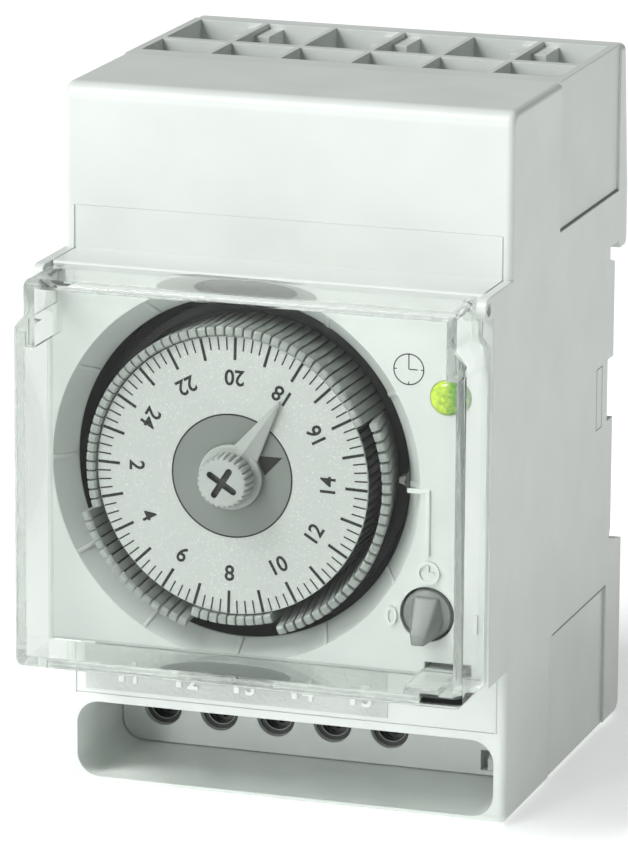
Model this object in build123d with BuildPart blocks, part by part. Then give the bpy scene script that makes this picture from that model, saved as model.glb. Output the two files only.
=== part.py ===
"""Analogue 24-hour time switch for a 35 mm rail, three modules wide.

Millimetres. X runs to the right, Y back towards the rail, Z up. The origin is the middle
of the seat that rests on the rail, so the front of the switch faces -Y.
"""
from build123d import *
from math import cos, pi, radians, sin
import os

os.makedirs("parts", exist_ok=True)

# ---------------------------------------------------------------- driving sizes
WIDTH = 53.0             # three modules
TOP_Z = 41.5             # top of the upper shoulder
BOTTOM_Z = -40.6         # underside of the lower shoulder
BAND_HALF = 22.5         # half the 45 mm front band
SHOULDER_Y = -42.5       # front of both shoulders
FASCIA_Y = -49.5         # front of the fascia
COVER_Y = -59.5          # front of the clear cover
REAR_Y = 4.8             # back of the hook and of the lower lip

SIDE_WALL = 1.2          # side walls of the housing
FRONT_WALL = 1.8         # shoulders and fascia
SHELF = 1.5              # inner shelves of the housing
SEAM = 0.05              # gap between housing pieces that close on each other
RUNNING = 0.05           # radial clearance of a shaft in its bearing
LOOSE = 0.3              # gap kept between pieces that pass each other
EDGE_ROUND = 0.8         # rounding of the housing's outer edges

RAIL_HALF = 17.5         # half of the 35 mm rail
RAIL_PLAY = 0.6          # room above the rail's edge under the hook
HOOK_GRIP = 0.9          # how far the hook reaches down behind the rail
RAIL_GAP = 1.6           # room for the thickness of the rail behind the seat
SEAT_TOP = 16.0          # upper end of the seat
SEAT_RELIEF = (-2.8, 4.6)    # lower and upper end of the relief across the seat
RELIEF_DEPTH = 2.4
SEAT_PAD_HALF = 6.0      # half width of the pad left standing in the relief

BLOCK_SPLIT_Z = 24.2     # underside of the top block
BLOCK_FRONT_Y = -23.5
BLOCK_REAR_Y = 1.3
BLOCK_INSET = 0.3        # how far the two blocks stand inside the side faces
POCKET_COLUMNS = 6
POCKET_RIB = 0.7
POCKET_DEPTH = 9.0
POCKET_ROWS = ((-20.3, -13.2), (-11.8, 0.2))   # front and back of each row
STUD_SIZE = (4.4, 5.2)   # blocks that bridge every other rib of the back row

RECESS_TOP = -30.9       # screw recess in the lower shoulder
RECESS_BOTTOM = -39.9
RECESS_REAR_Y = -27.5
RECESS_ROUND = 2.7
TERMINAL_FRONT_Y = -25.0
TERMINAL_REAR_Y = -1.5
TERMINAL_TOP_Z = -23.2
REAR_BOTTOM_Z = -40.2    # underside behind the step

TERMINALS = 5
TERMINAL_PITCH = 7.0
TERMINAL_FIRST_X = -20.0
TERMINAL_Z = -35.4
SCREW_HEAD_R = 2.0
SCREW_HEAD_LENGTH = 2.0
SCREW_R = 1.25
SCREW_SLOT = 0.6         # width and depth of the cross in the screw heads
SCREW_SLOT_DEPTH = 0.9
CAGE_TRAVEL = 2.4
BAR_THICK = 1.0
WIRE_ENTRY_R = 1.9

FLANGE_TOP = 27.5        # the front frame's flanges above and below the band
FLANGE_BOTTOM = -29.9

DIAL_X, DIAL_Z = -3.4, -0.3
DISH_DEPTH = 3.0
DIAL_FACE_Y = -50.5
DIAL_FACE_R = 16.0
DIAL_FACE_THICK = 0.4
CENTRE_DISC_R = 7.0
HOUR_SHOWN = 14.09       # the time that the dial shows at the index, in hours
TAPPETS = 96
TAPPET_THICK = 1.05      # along the radius
TAPPET_GAP = 0.157       # between neighbours, where they are closest
TAPPET_TIP_Y = -51.2
TAPPET_PIVOT_Y = -43.0
TAPPET_TILT = 11.5       # degrees outwards when switched on
ON_SPANS = ((13, 28), (37, 63))     # tappets that are out: first, and one past the last
HINGED = (12, 28, 36, 62)           # tappets that have a node each

TUBE_R = 3.0             # bearing tube of the dial
ARBOR_R = 1.15           # minute arbor in that tube
HAND_LENGTH = 10.8
KNOB_R = 3.1
KNOB_FRONT_Y = -54.1
CROSS_SIZE = (4.0, 0.75) # length and width of the knob's cross slot
CROSS_DEPTH = 0.8

FRONT_PLATE_Y = -40.6    # front of the movement's front plate
REAR_PLATE_Y = -31.2     # front of the movement's rear plate
PLATE_THICK = 1.2
DIAL_GEAR = (60, 0.3)    # teeth and module; wheel and pinion pairs all keep one centre distance
IDLER_PINION, IDLER_WHEEL = (10, 0.3), (48, 0.35)
MINUTE_PINION = (12, 0.35)
TRAIN_WHEEL, TRAIN_PINION = (60, 0.3), (10, 0.3)

LED_Z, LED_R = 10.5, 1.95
LED_STEM_R = 1.4         # light-emitting diode, and the stem of its lens
SELECTOR_Z, SELECTOR_R = -14.5, 3.0
PCB_REAR_Y = -16.05
PCB_THICK = 1.6
HINGE_Y, HINGE_Z = -51.2, 21.2
HINGE_PIN_R = 0.7
COVER_WALL = 1.2
LATCH_HALF = 6.0
LATCH_TRAVEL = 3.0

# ---------------------------------------------------------------- derived sizes
SIDE_X = WIDTH / 2
INNER_X = SIDE_X - SIDE_WALL
FRAME_X = INNER_X - SEAM
MINUTE = HOUR_SHOWN % 1 * 60
HAND_ANGLE = 90 - MINUTE * 6                  # anticlockwise from +X, seen from the front
LED_X = SIDE_X - 5.1
SELECTOR_X = SIDE_X - 7.2
TAPPET_IN = DIAL_FACE_R + 0.15
TAPPET_OUT = TAPPET_IN + TAPPET_THICK
TAPPET_PIVOT_R = (TAPPET_IN + TAPPET_OUT) / 2
TAPPET_WIDTH = 2 * pi * TAPPET_IN / TAPPETS - TAPPET_GAP
DISH_INNER_R = TAPPET_OUT + 2.5
DISH_OUTER_R = DISH_INNER_R + 2.1
GEAR_DISTANCE = (DIAL_GEAR[0] + IDLER_PINION[0]) * DIAL_GEAR[1] / 2
TERMINAL_X = [TERMINAL_FIRST_X + TERMINAL_PITCH * i for i in range(TERMINALS)]


def facing_front(y):
    """Sketch plane at depth y: local x is X, local y is Z, and it is extruded to the front."""
    return Plane(origin=(0, y, 0), x_dir=(1, 0, 0), z_dir=(0, -1, 0))


def around_dial():
    """Sketch plane through the dial's axis: local x is the radius, local y is Y."""
    return Plane(origin=(DIAL_X, 0, DIAL_Z), x_dir=(1, 0, 0), z_dir=(0, 0, 1))


DIAL_AXIS = Axis((DIAL_X, 0, DIAL_Z), (0, 1, 0))


def hour_angle(hour):
    """Where an hour of the dial stands, anticlockwise from +X, seen from the front."""
    return (hour - HOUR_SHOWN) * 360 / 24


def save(piece, name):
    piece.label = name
    export_step(piece, f"parts/{name}.step")


def gear_outline(teeth, module, phase=0.0):
    """Points of a straight-flanked gear, one tooth centred at the phase angle."""
    pitch_r = teeth * module / 2
    tip, root = pitch_r + 0.85 * module, pitch_r - 1.15 * module
    points = []
    for tooth in range(teeth):
        for radius, share in ((root, -0.32), (tip, -0.12), (tip, 0.12), (root, 0.32)):
            angle = radians(phase + (tooth + share) * 360 / teeth)
            points.append((radius * cos(angle), radius * sin(angle)))
    return points


def gear(teeth, module, centre, rear_y, thick, phase=0.0):
    """Adds a spur gear about an axis along Y to the piece being built."""
    with BuildSketch(facing_front(rear_y)) as wheel:
        with Locations(centre):
            Polygon(*gear_outline(teeth, module, phase), align=None)
    extrude(wheel.sketch, amount=thick)


def disc(radius, centre, rear_y, thick, mode=Mode.ADD):
    """Adds or cuts a round disc or hole about an axis along Y, from rear_y to the front."""
    with BuildSketch(facing_front(rear_y)) as face:
        with Locations(centre):
            Circle(radius)
    extrude(face.sketch, amount=thick, mode=mode)


def block(x, y, z, mode=Mode.ADD):
    """Adds or cuts a box given by its two ends along X, Y and Z."""
    with Locations(((x[0] + x[1]) / 2, (y[0] + y[1]) / 2, (z[0] + z[1]) / 2)):
        Box(x[1] - x[0], y[1] - y[0], z[1] - z[0], mode=mode)


DIAL = (DIAL_X, DIAL_Z)


def from_dial(distance, angle):
    return (DIAL_X + distance * cos(radians(angle)), DIAL_Z + distance * sin(radians(angle)))


# ---------------------------------------------------------------- housing
HOOK_TOP = RAIL_HALF + RAIL_PLAY
HOOK_TIP = HOOK_TOP - HOOK_GRIP
NOTCH_Y = -2.0
LIP_TOP = -RAIL_HALF - 0.1
LATCH_TOP = LIP_TOP + 1.1      # tip of the latch's nose
SEAT_BOTTOM = LATCH_TOP + 0.15 # the seat ends above the nose, and a short slope leads to the lip

outline = [
    (SHOULDER_Y, TOP_Z), (2.9, TOP_Z), (REAR_Y, BLOCK_SPLIT_Z), (REAR_Y, HOOK_TIP),
    (RAIL_GAP + 0.4, HOOK_TIP), (RAIL_GAP, HOOK_TOP), (NOTCH_Y, HOOK_TOP), (NOTCH_Y, SEAT_TOP + 0.6),
    (0, SEAT_TOP), (0, SEAT_BOTTOM), (-0.5, LIP_TOP), (REAR_Y, LIP_TOP - 1.2), (REAR_Y, REAR_BOTTOM_Z + 1),
    (REAR_Y - 1, REAR_BOTTOM_Z), (TERMINAL_FRONT_Y, REAR_BOTTOM_Z), (TERMINAL_FRONT_Y, BOTTOM_Z),
    (SHOULDER_Y, BOTTOM_Z), (SHOULDER_Y, -BAND_HALF), (FASCIA_Y, -BAND_HALF),
    (FASCIA_Y, BAND_HALF), (SHOULDER_Y, BAND_HALF),
]
cavity = [
    (SHOULDER_Y + FRONT_WALL, TOP_Z - SHELF), (BLOCK_FRONT_Y - SHELF, TOP_Z - SHELF),
    (BLOCK_FRONT_Y - SHELF, BLOCK_SPLIT_Z - SHELF), (-RELIEF_DEPTH - FRONT_WALL, BLOCK_SPLIT_Z - SHELF),
    (-RELIEF_DEPTH - FRONT_WALL, TERMINAL_TOP_Z + SHELF), (TERMINAL_FRONT_Y, TERMINAL_TOP_Z + SHELF),
    (TERMINAL_FRONT_Y, RECESS_TOP + SHELF), (SHOULDER_Y + FRONT_WALL, RECESS_TOP + SHELF),
]
LATCH_Y = (0.8, 4.2)           # depth of the latch's channel
LATCH_PLAY = 0.15
LATCH_MOUTH_HALF = 4.5         # the channel's narrower opening to the rear
PEG_Z = (-37.0, -35.5)         # peg that carries the latch's spring
PEG_HALF = 1.3
BAR_SLOT_HALF = 2.2            # slots that let the current bars up to the board
BAR_FRONT_Y = -16.0

with BuildPart() as rear_housing:
    with BuildSketch(Plane.YZ):
        with BuildLine():
            Polyline(*outline, close=True)
        make_face()
        for corner, radius in (((SHOULDER_Y, TOP_Z), 1.8), ((SHOULDER_Y, BOTTOM_Z), 1.2),
                               ((REAR_Y, BLOCK_SPLIT_Z), 3.0), ((REAR_Y, HOOK_TIP), 0.8)):
            fillet(vertices().sort_by_distance((*corner, 0))[0], radius)
    extrude(amount=SIDE_X, both=True)
    for side in (-SIDE_X, SIDE_X):
        front_edges = [e for e in edges().filter_by(Axis.Z)
                       if abs(e.center().Y - SHOULDER_Y) < 0.01 and abs(e.center().X - side) < 0.01]
        fillet(front_edges, EDGE_ROUND)
    with BuildSketch(Plane.YZ):
        with BuildLine():
            Polyline(*cavity, close=True)
        make_face()
    extrude(amount=INNER_X, both=True, mode=Mode.SUBTRACT)
    # opening for the front frame, and for the two blocks behind the shoulders
    block((-INNER_X, INNER_X), (FASCIA_Y - 1, SHOULDER_Y + FRONT_WALL), (FLANGE_BOTTOM, FLANGE_TOP),
          Mode.SUBTRACT)
    block((-SIDE_X - 1, SIDE_X + 1), (BLOCK_FRONT_Y, BLOCK_REAR_Y), (BLOCK_SPLIT_Z, TOP_Z + 1),
          Mode.SUBTRACT)
    block((-SIDE_X - 1, SIDE_X + 1), (TERMINAL_FRONT_Y, TERMINAL_REAR_Y), (BOTTOM_Z - 1, TERMINAL_TOP_Z),
          Mode.SUBTRACT)
    # screw recess in the lower shoulder
    with BuildSketch(facing_front(TERMINAL_FRONT_Y)):
        with Locations((0, (RECESS_TOP + RECESS_BOTTOM) / 2)):
            RectangleRounded(2 * INNER_X - 0.4, RECESS_TOP - RECESS_BOTTOM, RECESS_ROUND)
    extrude(amount=TERMINAL_FRONT_Y - SHOULDER_Y + 1, mode=Mode.SUBTRACT)
    # relief across the seat, interrupted by the pad in the middle
    for x in ((-SIDE_X - 1, -SEAT_PAD_HALF), (SEAT_PAD_HALF, SIDE_X + 1)):
        block(x, (-RELIEF_DEPTH, 1), SEAT_RELIEF, Mode.SUBTRACT)
    # channel of the rail latch, its mouth to the rear, and the peg for the spring
    block((-LATCH_HALF, LATCH_HALF), LATCH_Y, (REAR_BOTTOM_Z - 1, LIP_TOP + 3), Mode.SUBTRACT)
    block((-LATCH_MOUTH_HALF, LATCH_MOUTH_HALF), (LATCH_Y[0], REAR_Y + 1), (REAR_BOTTOM_Z - 1, LIP_TOP + 3),
          Mode.SUBTRACT)
    block((-PEG_HALF, PEG_HALF), (LATCH_Y[0] - 0.2, LATCH_Y[1] - 0.4), PEG_Z)
    # slots through the lower shelf for the current bars
    for x in TERMINAL_X:
        block((x - BAR_SLOT_HALF, x + BAR_SLOT_HALF), (BAR_FRONT_Y - 0.3, BAR_FRONT_Y + BAR_THICK + 0.3),
              (TERMINAL_TOP_Z - 1, TERMINAL_TOP_Z + SHELF + 1), Mode.SUBTRACT)
    # lugs that carry the cover, one on each side wall
    for side in (-1, 1):
        inner = side * (INNER_X + 0.05)
        with BuildSketch(Plane(origin=(inner, 0, 0), x_dir=(0, 1, 0), z_dir=(side, 0, 0))):
            with BuildLine():
                top = BAND_HALF
                lug_r = top - HINGE_Z
                low = side * (HINGE_Z - lug_r)
                Line((FASCIA_Y + 1, side * top), (HINGE_Y, side * top))
                ThreePointArc((HINGE_Y, side * top), (HINGE_Y - lug_r, side * HINGE_Z), (HINGE_Y, low))
                Line((HINGE_Y, low), (FASCIA_Y + 1, low))
                Line((FASCIA_Y + 1, low), (FASCIA_Y + 1, side * top))
            make_face()
            with Locations((HINGE_Y, side * HINGE_Z)):
                Circle(HINGE_PIN_R + RUNNING, mode=Mode.SUBTRACT)
        extrude(amount=SIDE_WALL - 0.05)
save(rear_housing.part, "rear_housing")

with BuildPart() as top_block:
    rim_x = SIDE_X - BLOCK_INSET
    block((-rim_x, rim_x), (BLOCK_FRONT_Y + SEAM, BLOCK_REAR_Y - SEAM), (BLOCK_SPLIT_Z + 0.2, TOP_Z))
    pitch = 2 * (rim_x - POCKET_RIB) / POCKET_COLUMNS
    columns = [-rim_x + POCKET_RIB + pitch * (i + 0.5) for i in range(POCKET_COLUMNS)]
    for x in columns:
        for row in POCKET_ROWS:
            block((x - (pitch - POCKET_RIB) / 2, x + (pitch - POCKET_RIB) / 2), row,
                  (TOP_Z - POCKET_DEPTH, TOP_Z + 1), Mode.SUBTRACT)
    for left, right in zip(columns[0::2], columns[1::2]):
        middle, back = (left + right) / 2, POCKET_ROWS[1][1]
        block((middle - STUD_SIZE[0] / 2, middle + STUD_SIZE[0] / 2), (back - STUD_SIZE[1], back + 0.1),
              (TOP_Z - POCKET_DEPTH - 0.1, TOP_Z - 0.6))
save(top_block.part, "top_block")

# ---------------------------------------------------------------- terminals
CAGE_HALF = SCREW_HEAD_R + 0.6
CHAMBER_HALF = CAGE_HALF + 0.35
CHAMBER_Y = (-25.4, -8.0)
CHAMBER_Z = (-39.0, -29.0)
CAGE_Z = (TERMINAL_Z - 2.5, TERMINAL_Z + 2.5)
CAGE_SHEET = 0.9
HOLE_STEP_R = SCREW_HEAD_R + 0.35       # outer step of a screw hole
HOLE_STEP_DEPTH = 0.9
DRIVER_HOLE_R = SCREW_HEAD_R - 0.25     # keeps the head in, and lets the driver through
CAGE_FRONT_Y = -19.4          # front of the open cage
HEAD_FRONT_Y = -25.2
BAR_REAR_Y = BAR_FRONT_Y + BAR_THICK
CAGE_REAR_Y = BAR_REAR_Y + CAGE_TRAVEL + 0.3 + CAGE_SHEET
WIRE_Y = (BAR_REAR_Y + CAGE_REAR_Y - CAGE_SHEET) / 2
SNAP_X = SIDE_X - 6.1         # square window with the snap hook, beside the screws
SNAP_HALF = 1.3
SNAP_Z = (-39.2, -36.8)

with BuildPart() as terminal_block:
    rim_x = SIDE_X - BLOCK_INSET
    block((-rim_x, rim_x), (TERMINAL_FRONT_Y + SEAM, TERMINAL_REAR_Y - SEAM),
          (REAR_BOTTOM_Z, TERMINAL_TOP_Z - 0.1))
    with BuildSketch(facing_front(TERMINAL_FRONT_Y + 1)):
        with Locations((0, (RECESS_TOP + RECESS_BOTTOM) / 2)):
            RectangleRounded(2 * INNER_X - 0.6, RECESS_TOP - RECESS_BOTTOM - 0.2, RECESS_ROUND - 0.1)
    extrude(amount=TERMINAL_FRONT_Y + 1 - RECESS_REAR_Y)
    for x in TERMINAL_X:
        block((x - CHAMBER_HALF, x + CHAMBER_HALF), CHAMBER_Y, CHAMBER_Z, Mode.SUBTRACT)
        disc(HOLE_STEP_R, (x, TERMINAL_Z), RECESS_REAR_Y + HOLE_STEP_DEPTH, 2, Mode.SUBTRACT)
        disc(DRIVER_HOLE_R, (x, TERMINAL_Z), CHAMBER_Y[0] + 0.5, 3, Mode.SUBTRACT)
        block((x - BAR_SLOT_HALF, x + BAR_SLOT_HALF), (BAR_FRONT_Y - 0.2, BAR_REAR_Y + 0.2),
              (CHAMBER_Z[1] - 1, TERMINAL_TOP_Z + 1), Mode.SUBTRACT)
        with BuildSketch(Plane.XY.offset(REAR_BOTTOM_Z)):
            with Locations((x, WIRE_Y)):
                Circle(WIRE_ENTRY_R)
        extrude(amount=CHAMBER_Z[0] - REAR_BOTTOM_Z + 0.5, mode=Mode.SUBTRACT)
    block((SNAP_X - SNAP_HALF, SNAP_X + SNAP_HALF), (RECESS_REAR_Y - 1, RECESS_REAR_Y + 2.0), SNAP_Z,
          Mode.SUBTRACT)
    with BuildSketch(Plane(origin=(SNAP_X - 0.5, 0, 0), x_dir=(0, 1, 0), z_dir=(1, 0, 0))):
        with BuildLine():
            hook_y = (RECESS_REAR_Y + 0.2, RECESS_REAR_Y + 2.1)
            Polyline((hook_y[1], SNAP_Z[1] + 0.1), (hook_y[0], SNAP_Z[0] + 1.2), (hook_y[0], SNAP_Z[0] - 0.1),
                     (hook_y[1], SNAP_Z[0] - 0.1), close=True)
        make_face()
    extrude(amount=0.9)
save(terminal_block.part, "terminal_block")

for number, x in enumerate(TERMINAL_X, 1):
    with BuildPart() as terminal_screw:
        disc(SCREW_HEAD_R, (x, TERMINAL_Z), HEAD_FRONT_Y + SCREW_HEAD_LENGTH, SCREW_HEAD_LENGTH)
        disc(SCREW_R, (x, TERMINAL_Z), BAR_FRONT_Y - 0.05,
             BAR_FRONT_Y - 0.05 - HEAD_FRONT_Y - SCREW_HEAD_LENGTH + 0.1)
        slot_y = (HEAD_FRONT_Y - 1, HEAD_FRONT_Y + SCREW_SLOT_DEPTH)
        block((x - SCREW_HEAD_R, x + SCREW_HEAD_R), slot_y,
              (TERMINAL_Z - SCREW_SLOT / 2, TERMINAL_Z + SCREW_SLOT / 2), Mode.SUBTRACT)
        block((x - SCREW_SLOT / 2, x + SCREW_SLOT / 2), slot_y,
              (TERMINAL_Z - SCREW_HEAD_R + 0.7, TERMINAL_Z + SCREW_HEAD_R - 0.7), Mode.SUBTRACT)
    save(terminal_screw.part, f"terminal_screw_{number}")
    with BuildPart() as terminal_cage:
        block((x - CAGE_HALF, x + CAGE_HALF), (CAGE_FRONT_Y, CAGE_REAR_Y), CAGE_Z)
        block((x - CAGE_HALF + 0.45, x + CAGE_HALF - 0.45), (CAGE_FRONT_Y + 1.2, CAGE_REAR_Y - CAGE_SHEET),
              (CAGE_Z[0] - 1, CAGE_Z[1] + 1), Mode.SUBTRACT)
        disc(SCREW_R + RUNNING, (x, TERMINAL_Z), CAGE_FRONT_Y + 2, 4, Mode.SUBTRACT)
    save(terminal_cage.part, f"terminal_cage_{number}")

with BuildPart() as current_bars:
    for x in TERMINAL_X:
        block((x - 2.0, x + 2.0), (BAR_FRONT_Y, BAR_REAR_Y), (CAGE_Z[0] - 0.3, -18.5))
save(current_bars.part, "current_bars")

# ---------------------------------------------------------------- front frame
DISH_Y = FASCIA_Y + DISH_DEPTH
LIP_WIDTH = 1.2
PRONG_X = (SIDE_X - 7.1, SIDE_X - 3.1)        # the cover's snap tongue
PRONG_Z = (-21.3, -20.3)

with BuildPart() as front_frame:
    block((-FRAME_X, FRAME_X), (FASCIA_Y, SHOULDER_Y + FRONT_WALL), (-BAND_HALF, BAND_HALF))
    fillet([e for e in edges().filter_by(Axis.X) if e.center().Y < FASCIA_Y + 0.01], 0.5)
    block((-FRAME_X + 1.2, FRAME_X - 1.2), (FASCIA_Y + FRONT_WALL, 0), (-BAND_HALF + 1.6, BAND_HALF - 1.6),
          Mode.SUBTRACT)
    for flange_z in ((BAND_HALF - 0.5, FLANGE_TOP), (FLANGE_BOTTOM + SEAM, -BAND_HALF + 0.5)):
        block((-FRAME_X, FRAME_X), (SHOULDER_Y, SHOULDER_Y + FRONT_WALL), flange_z)
    # wall of the conical dish, then the dish itself
    with BuildSketch(around_dial()):
        with BuildLine():
            Polyline((DISH_INNER_R, DISH_Y), (DISH_INNER_R + LIP_WIDTH, DISH_Y),
                     (DISH_OUTER_R - 0.1, FASCIA_Y + FRONT_WALL), (DISH_INNER_R, FASCIA_Y + FRONT_WALL - 0.4),
                     close=True)
        make_face()
    revolve(axis=DIAL_AXIS)
    with BuildSketch(around_dial()):
        with BuildLine():
            Polyline((0, DISH_Y + 1), (DISH_INNER_R, DISH_Y + 1), (DISH_INNER_R, DISH_Y),
                     (DISH_OUTER_R, FASCIA_Y), (DISH_OUTER_R, FASCIA_Y - 1), (0, FASCIA_Y - 1), close=True)
        make_face()
    revolve(axis=DIAL_AXIS, mode=Mode.SUBTRACT)
    disc(SELECTOR_R + 0.15, (SELECTOR_X, SELECTOR_Z), 0, 60, Mode.SUBTRACT)
    disc(LED_R + SEAM, (LED_X, LED_Z), 0, 60, Mode.SUBTRACT)
    block((PRONG_X[0] - LOOSE, PRONG_X[1] + LOOSE), (FASCIA_Y - 1, FASCIA_Y + 3),
          (PRONG_Z[0] - LOOSE, PRONG_Z[1] + LOOSE), Mode.SUBTRACT)
save(front_frame.part, "front_frame")

LABEL_X = (TERMINAL_X[0] - 4.0, TERMINAL_X[-1] + 4.5)
LABEL_Z = (-29.3, -24.0)
with BuildPart() as terminal_label:
    block(LABEL_X, (SHOULDER_Y - 0.15, SHOULDER_Y), LABEL_Z)
save(terminal_label.part, "terminal_label")

SURROUND_R = DISH_INNER_R + 0.9
FEELER_Y = (-46.0, -44.6)     # front and rear of the feeler lever, which passes through the surround
with BuildPart() as drum_surround:
    disc(SURROUND_R, DIAL, FRONT_PLATE_Y - SEAM, FRONT_PLATE_Y - SEAM - DISH_Y - SEAM)
    disc(DISH_INNER_R + 0.05, DIAL, 0, 60, Mode.SUBTRACT)
    block((DIAL_X + TAPPET_OUT, DIAL_X + SURROUND_R + 1), (FEELER_Y[0] - LOOSE, FEELER_Y[1] + LOOSE),
          (DIAL_Z - 3.0, DIAL_Z + 3.0), Mode.SUBTRACT)
save(drum_surround.part, "drum_surround")

INDEX_R = DISH_INNER_R - 0.75
INDEX_THICK = 0.4
with BuildPart() as time_index:
    with BuildSketch(facing_front(DISH_Y + INDEX_THICK)):
        with BuildLine():
            Polyline((DIAL_X + INDEX_R, DIAL_Z), (DIAL_X + DISH_INNER_R - 0.15, DIAL_Z + 1.6),
                     (DIAL_X + DISH_INNER_R - 0.15, DIAL_Z - 1.6), close=True)
        make_face()
    extrude(amount=INDEX_THICK)
save(time_index.part, "time_index")

# ---------------------------------------------------------------- clear cover
COVER_X = SIDE_X - 0.2
COVER_EAR_X = INNER_X - 0.15
COVER_TOP, COVER_BOTTOM = BAND_HALF - 0.1, -BAND_HALF + 0.1
COVER_BACK_Y = FASCIA_Y - 0.2
EAR_Z = 16.5                  # the sides step in above this to pass the lugs
STUB_ROOT, STUB_LENGTH = 1.5, 1.1    # pivot stubs: inside the cover's ear, and outside it

with BuildPart() as clear_cover:
    block((-COVER_X, COVER_X), (COVER_Y, COVER_BACK_Y), (COVER_BOTTOM, COVER_TOP))
    for side in (-1, 1):
        with BuildSketch(facing_front(0)):
            with BuildLine():
                Polyline((side * COVER_EAR_X, EAR_Z + 1.5), (side * (COVER_X + 1), EAR_Z - 1),
                         (side * (COVER_X + 1), COVER_TOP + 1), (side * COVER_EAR_X, COVER_TOP + 1),
                         close=True)
            make_face()
        extrude(amount=60, mode=Mode.SUBTRACT)
    fillet(edges().filter_by(Axis.X).group_by(Axis.Y)[0], 1.0)
    fillet([e for e in edges().filter_by(Axis.Z) if e.center().Y < COVER_Y + 0.1], 0.8)
    block((-COVER_EAR_X + COVER_WALL, COVER_EAR_X - COVER_WALL), (COVER_Y + COVER_WALL, 0),
          (COVER_BOTTOM + COVER_WALL, COVER_TOP - COVER_WALL), Mode.SUBTRACT)
    block((-COVER_X + COVER_WALL, COVER_X - COVER_WALL), (COVER_Y + COVER_WALL, 0),
          (COVER_BOTTOM + COVER_WALL, EAR_Z - 2.0), Mode.SUBTRACT)
    # the top wall stops short so that it turns clear of the fascia
    block((-SIDE_X, SIDE_X), (HINGE_Y + 0.9, 0), (HINGE_Z - 0.6, COVER_TOP + 1), Mode.SUBTRACT)
    # pivot stubs, snap tongue
    for side in (-1, 1):
        stub = Plane(origin=(side * (COVER_EAR_X - STUB_ROOT), 0, 0), x_dir=(0, 1, 0), z_dir=(side, 0, 0))
        with BuildSketch(stub):
            with Locations((HINGE_Y, side * HINGE_Z)):
                Circle(HINGE_PIN_R)
        extrude(amount=STUB_ROOT + STUB_LENGTH)
    block(PRONG_X, (COVER_Y + 0.5, FASCIA_Y + 1.6), PRONG_Z)
save(clear_cover.part, "clear_cover")

# ---------------------------------------------------------------- rail latch
LATCH_Z = (REAR_BOTTOM_Z + 0.4, LIP_TOP - 1.5)
NOSE_HALF = LATCH_MOUTH_HALF - 0.2
WINDOW_HALF, WINDOW_TOP = 1.7, -27.0
with BuildPart() as rail_latch:
    block((-LATCH_HALF + LATCH_PLAY, LATCH_HALF - LATCH_PLAY),
          (LATCH_Y[0] + LATCH_PLAY, LATCH_Y[1] - LATCH_PLAY), LATCH_Z)
    block((-NOSE_HALF, NOSE_HALF), (LATCH_Y[0] + LATCH_PLAY, REAR_Y - 0.2), LATCH_Z)
    # nose that hooks behind the rail, with a slope that lets the rail snap in
    with BuildSketch(Plane.YZ):
        with BuildLine():
            Polyline((RAIL_GAP, LIP_TOP - 1.6), (RAIL_GAP, LATCH_TOP), (RAIL_GAP + 0.8, LATCH_TOP),
                     (REAR_Y - 0.2, LIP_TOP - 0.8), (REAR_Y - 0.2, LIP_TOP - 1.6), close=True)
        make_face()
    extrude(amount=NOSE_HALF, both=True)
    # window for the spring and the peg
    block((-WINDOW_HALF, WINDOW_HALF), (0, REAR_Y - 0.9), (PEG_Z[0] - 0.2, WINDOW_TOP), Mode.SUBTRACT)
    # slot for a screwdriver tip
    block((-2.5, 2.5), (REAR_Y - 1.4, REAR_Y + 1), (REAR_BOTTOM_Z + 1.2, REAR_BOTTOM_Z + 2.2), Mode.SUBTRACT)
save(rail_latch.part, "rail_latch")

SPRING_R = 1.1
SPRING_WIRE = 0.35
SPRING_TURNS = 7
SPRING_Z = (PEG_Z[1] + SPRING_WIRE / 2 + 0.02, WINDOW_TOP - SPRING_WIRE / 2 - 0.02)
SPRING_Y = (LATCH_Y[0] + LATCH_Y[1]) / 2 - 0.1
spring_height = SPRING_Z[1] - SPRING_Z[0]
with BuildPart() as latch_spring:
    with BuildLine(Plane(origin=(0, SPRING_Y, SPRING_Z[0]))) as coil_line:
        Helix(pitch=spring_height / SPRING_TURNS, height=spring_height, radius=SPRING_R)
    with BuildSketch(Plane(origin=coil_line.line @ 0, z_dir=coil_line.line % 0)):
        Circle(SPRING_WIRE / 2)
    sweep(is_frenet=True)
save(latch_spring.part, "latch_spring")

# ---------------------------------------------------------------- dial
FLANGE_Y = (TAPPET_PIVOT_Y - 0.2, -41.9)     # front and rear of the drum's flange
GROOVE_FLOOR_Y = TAPPET_PIVOT_Y + 0.6
DIAL_GEAR_Y = -40.9                          # rear of the dial's gear
IDLER_ANGLE, THIRD_ANGLE, ROTOR_ANGLE = 200.0, 60.0, -10.0

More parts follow.
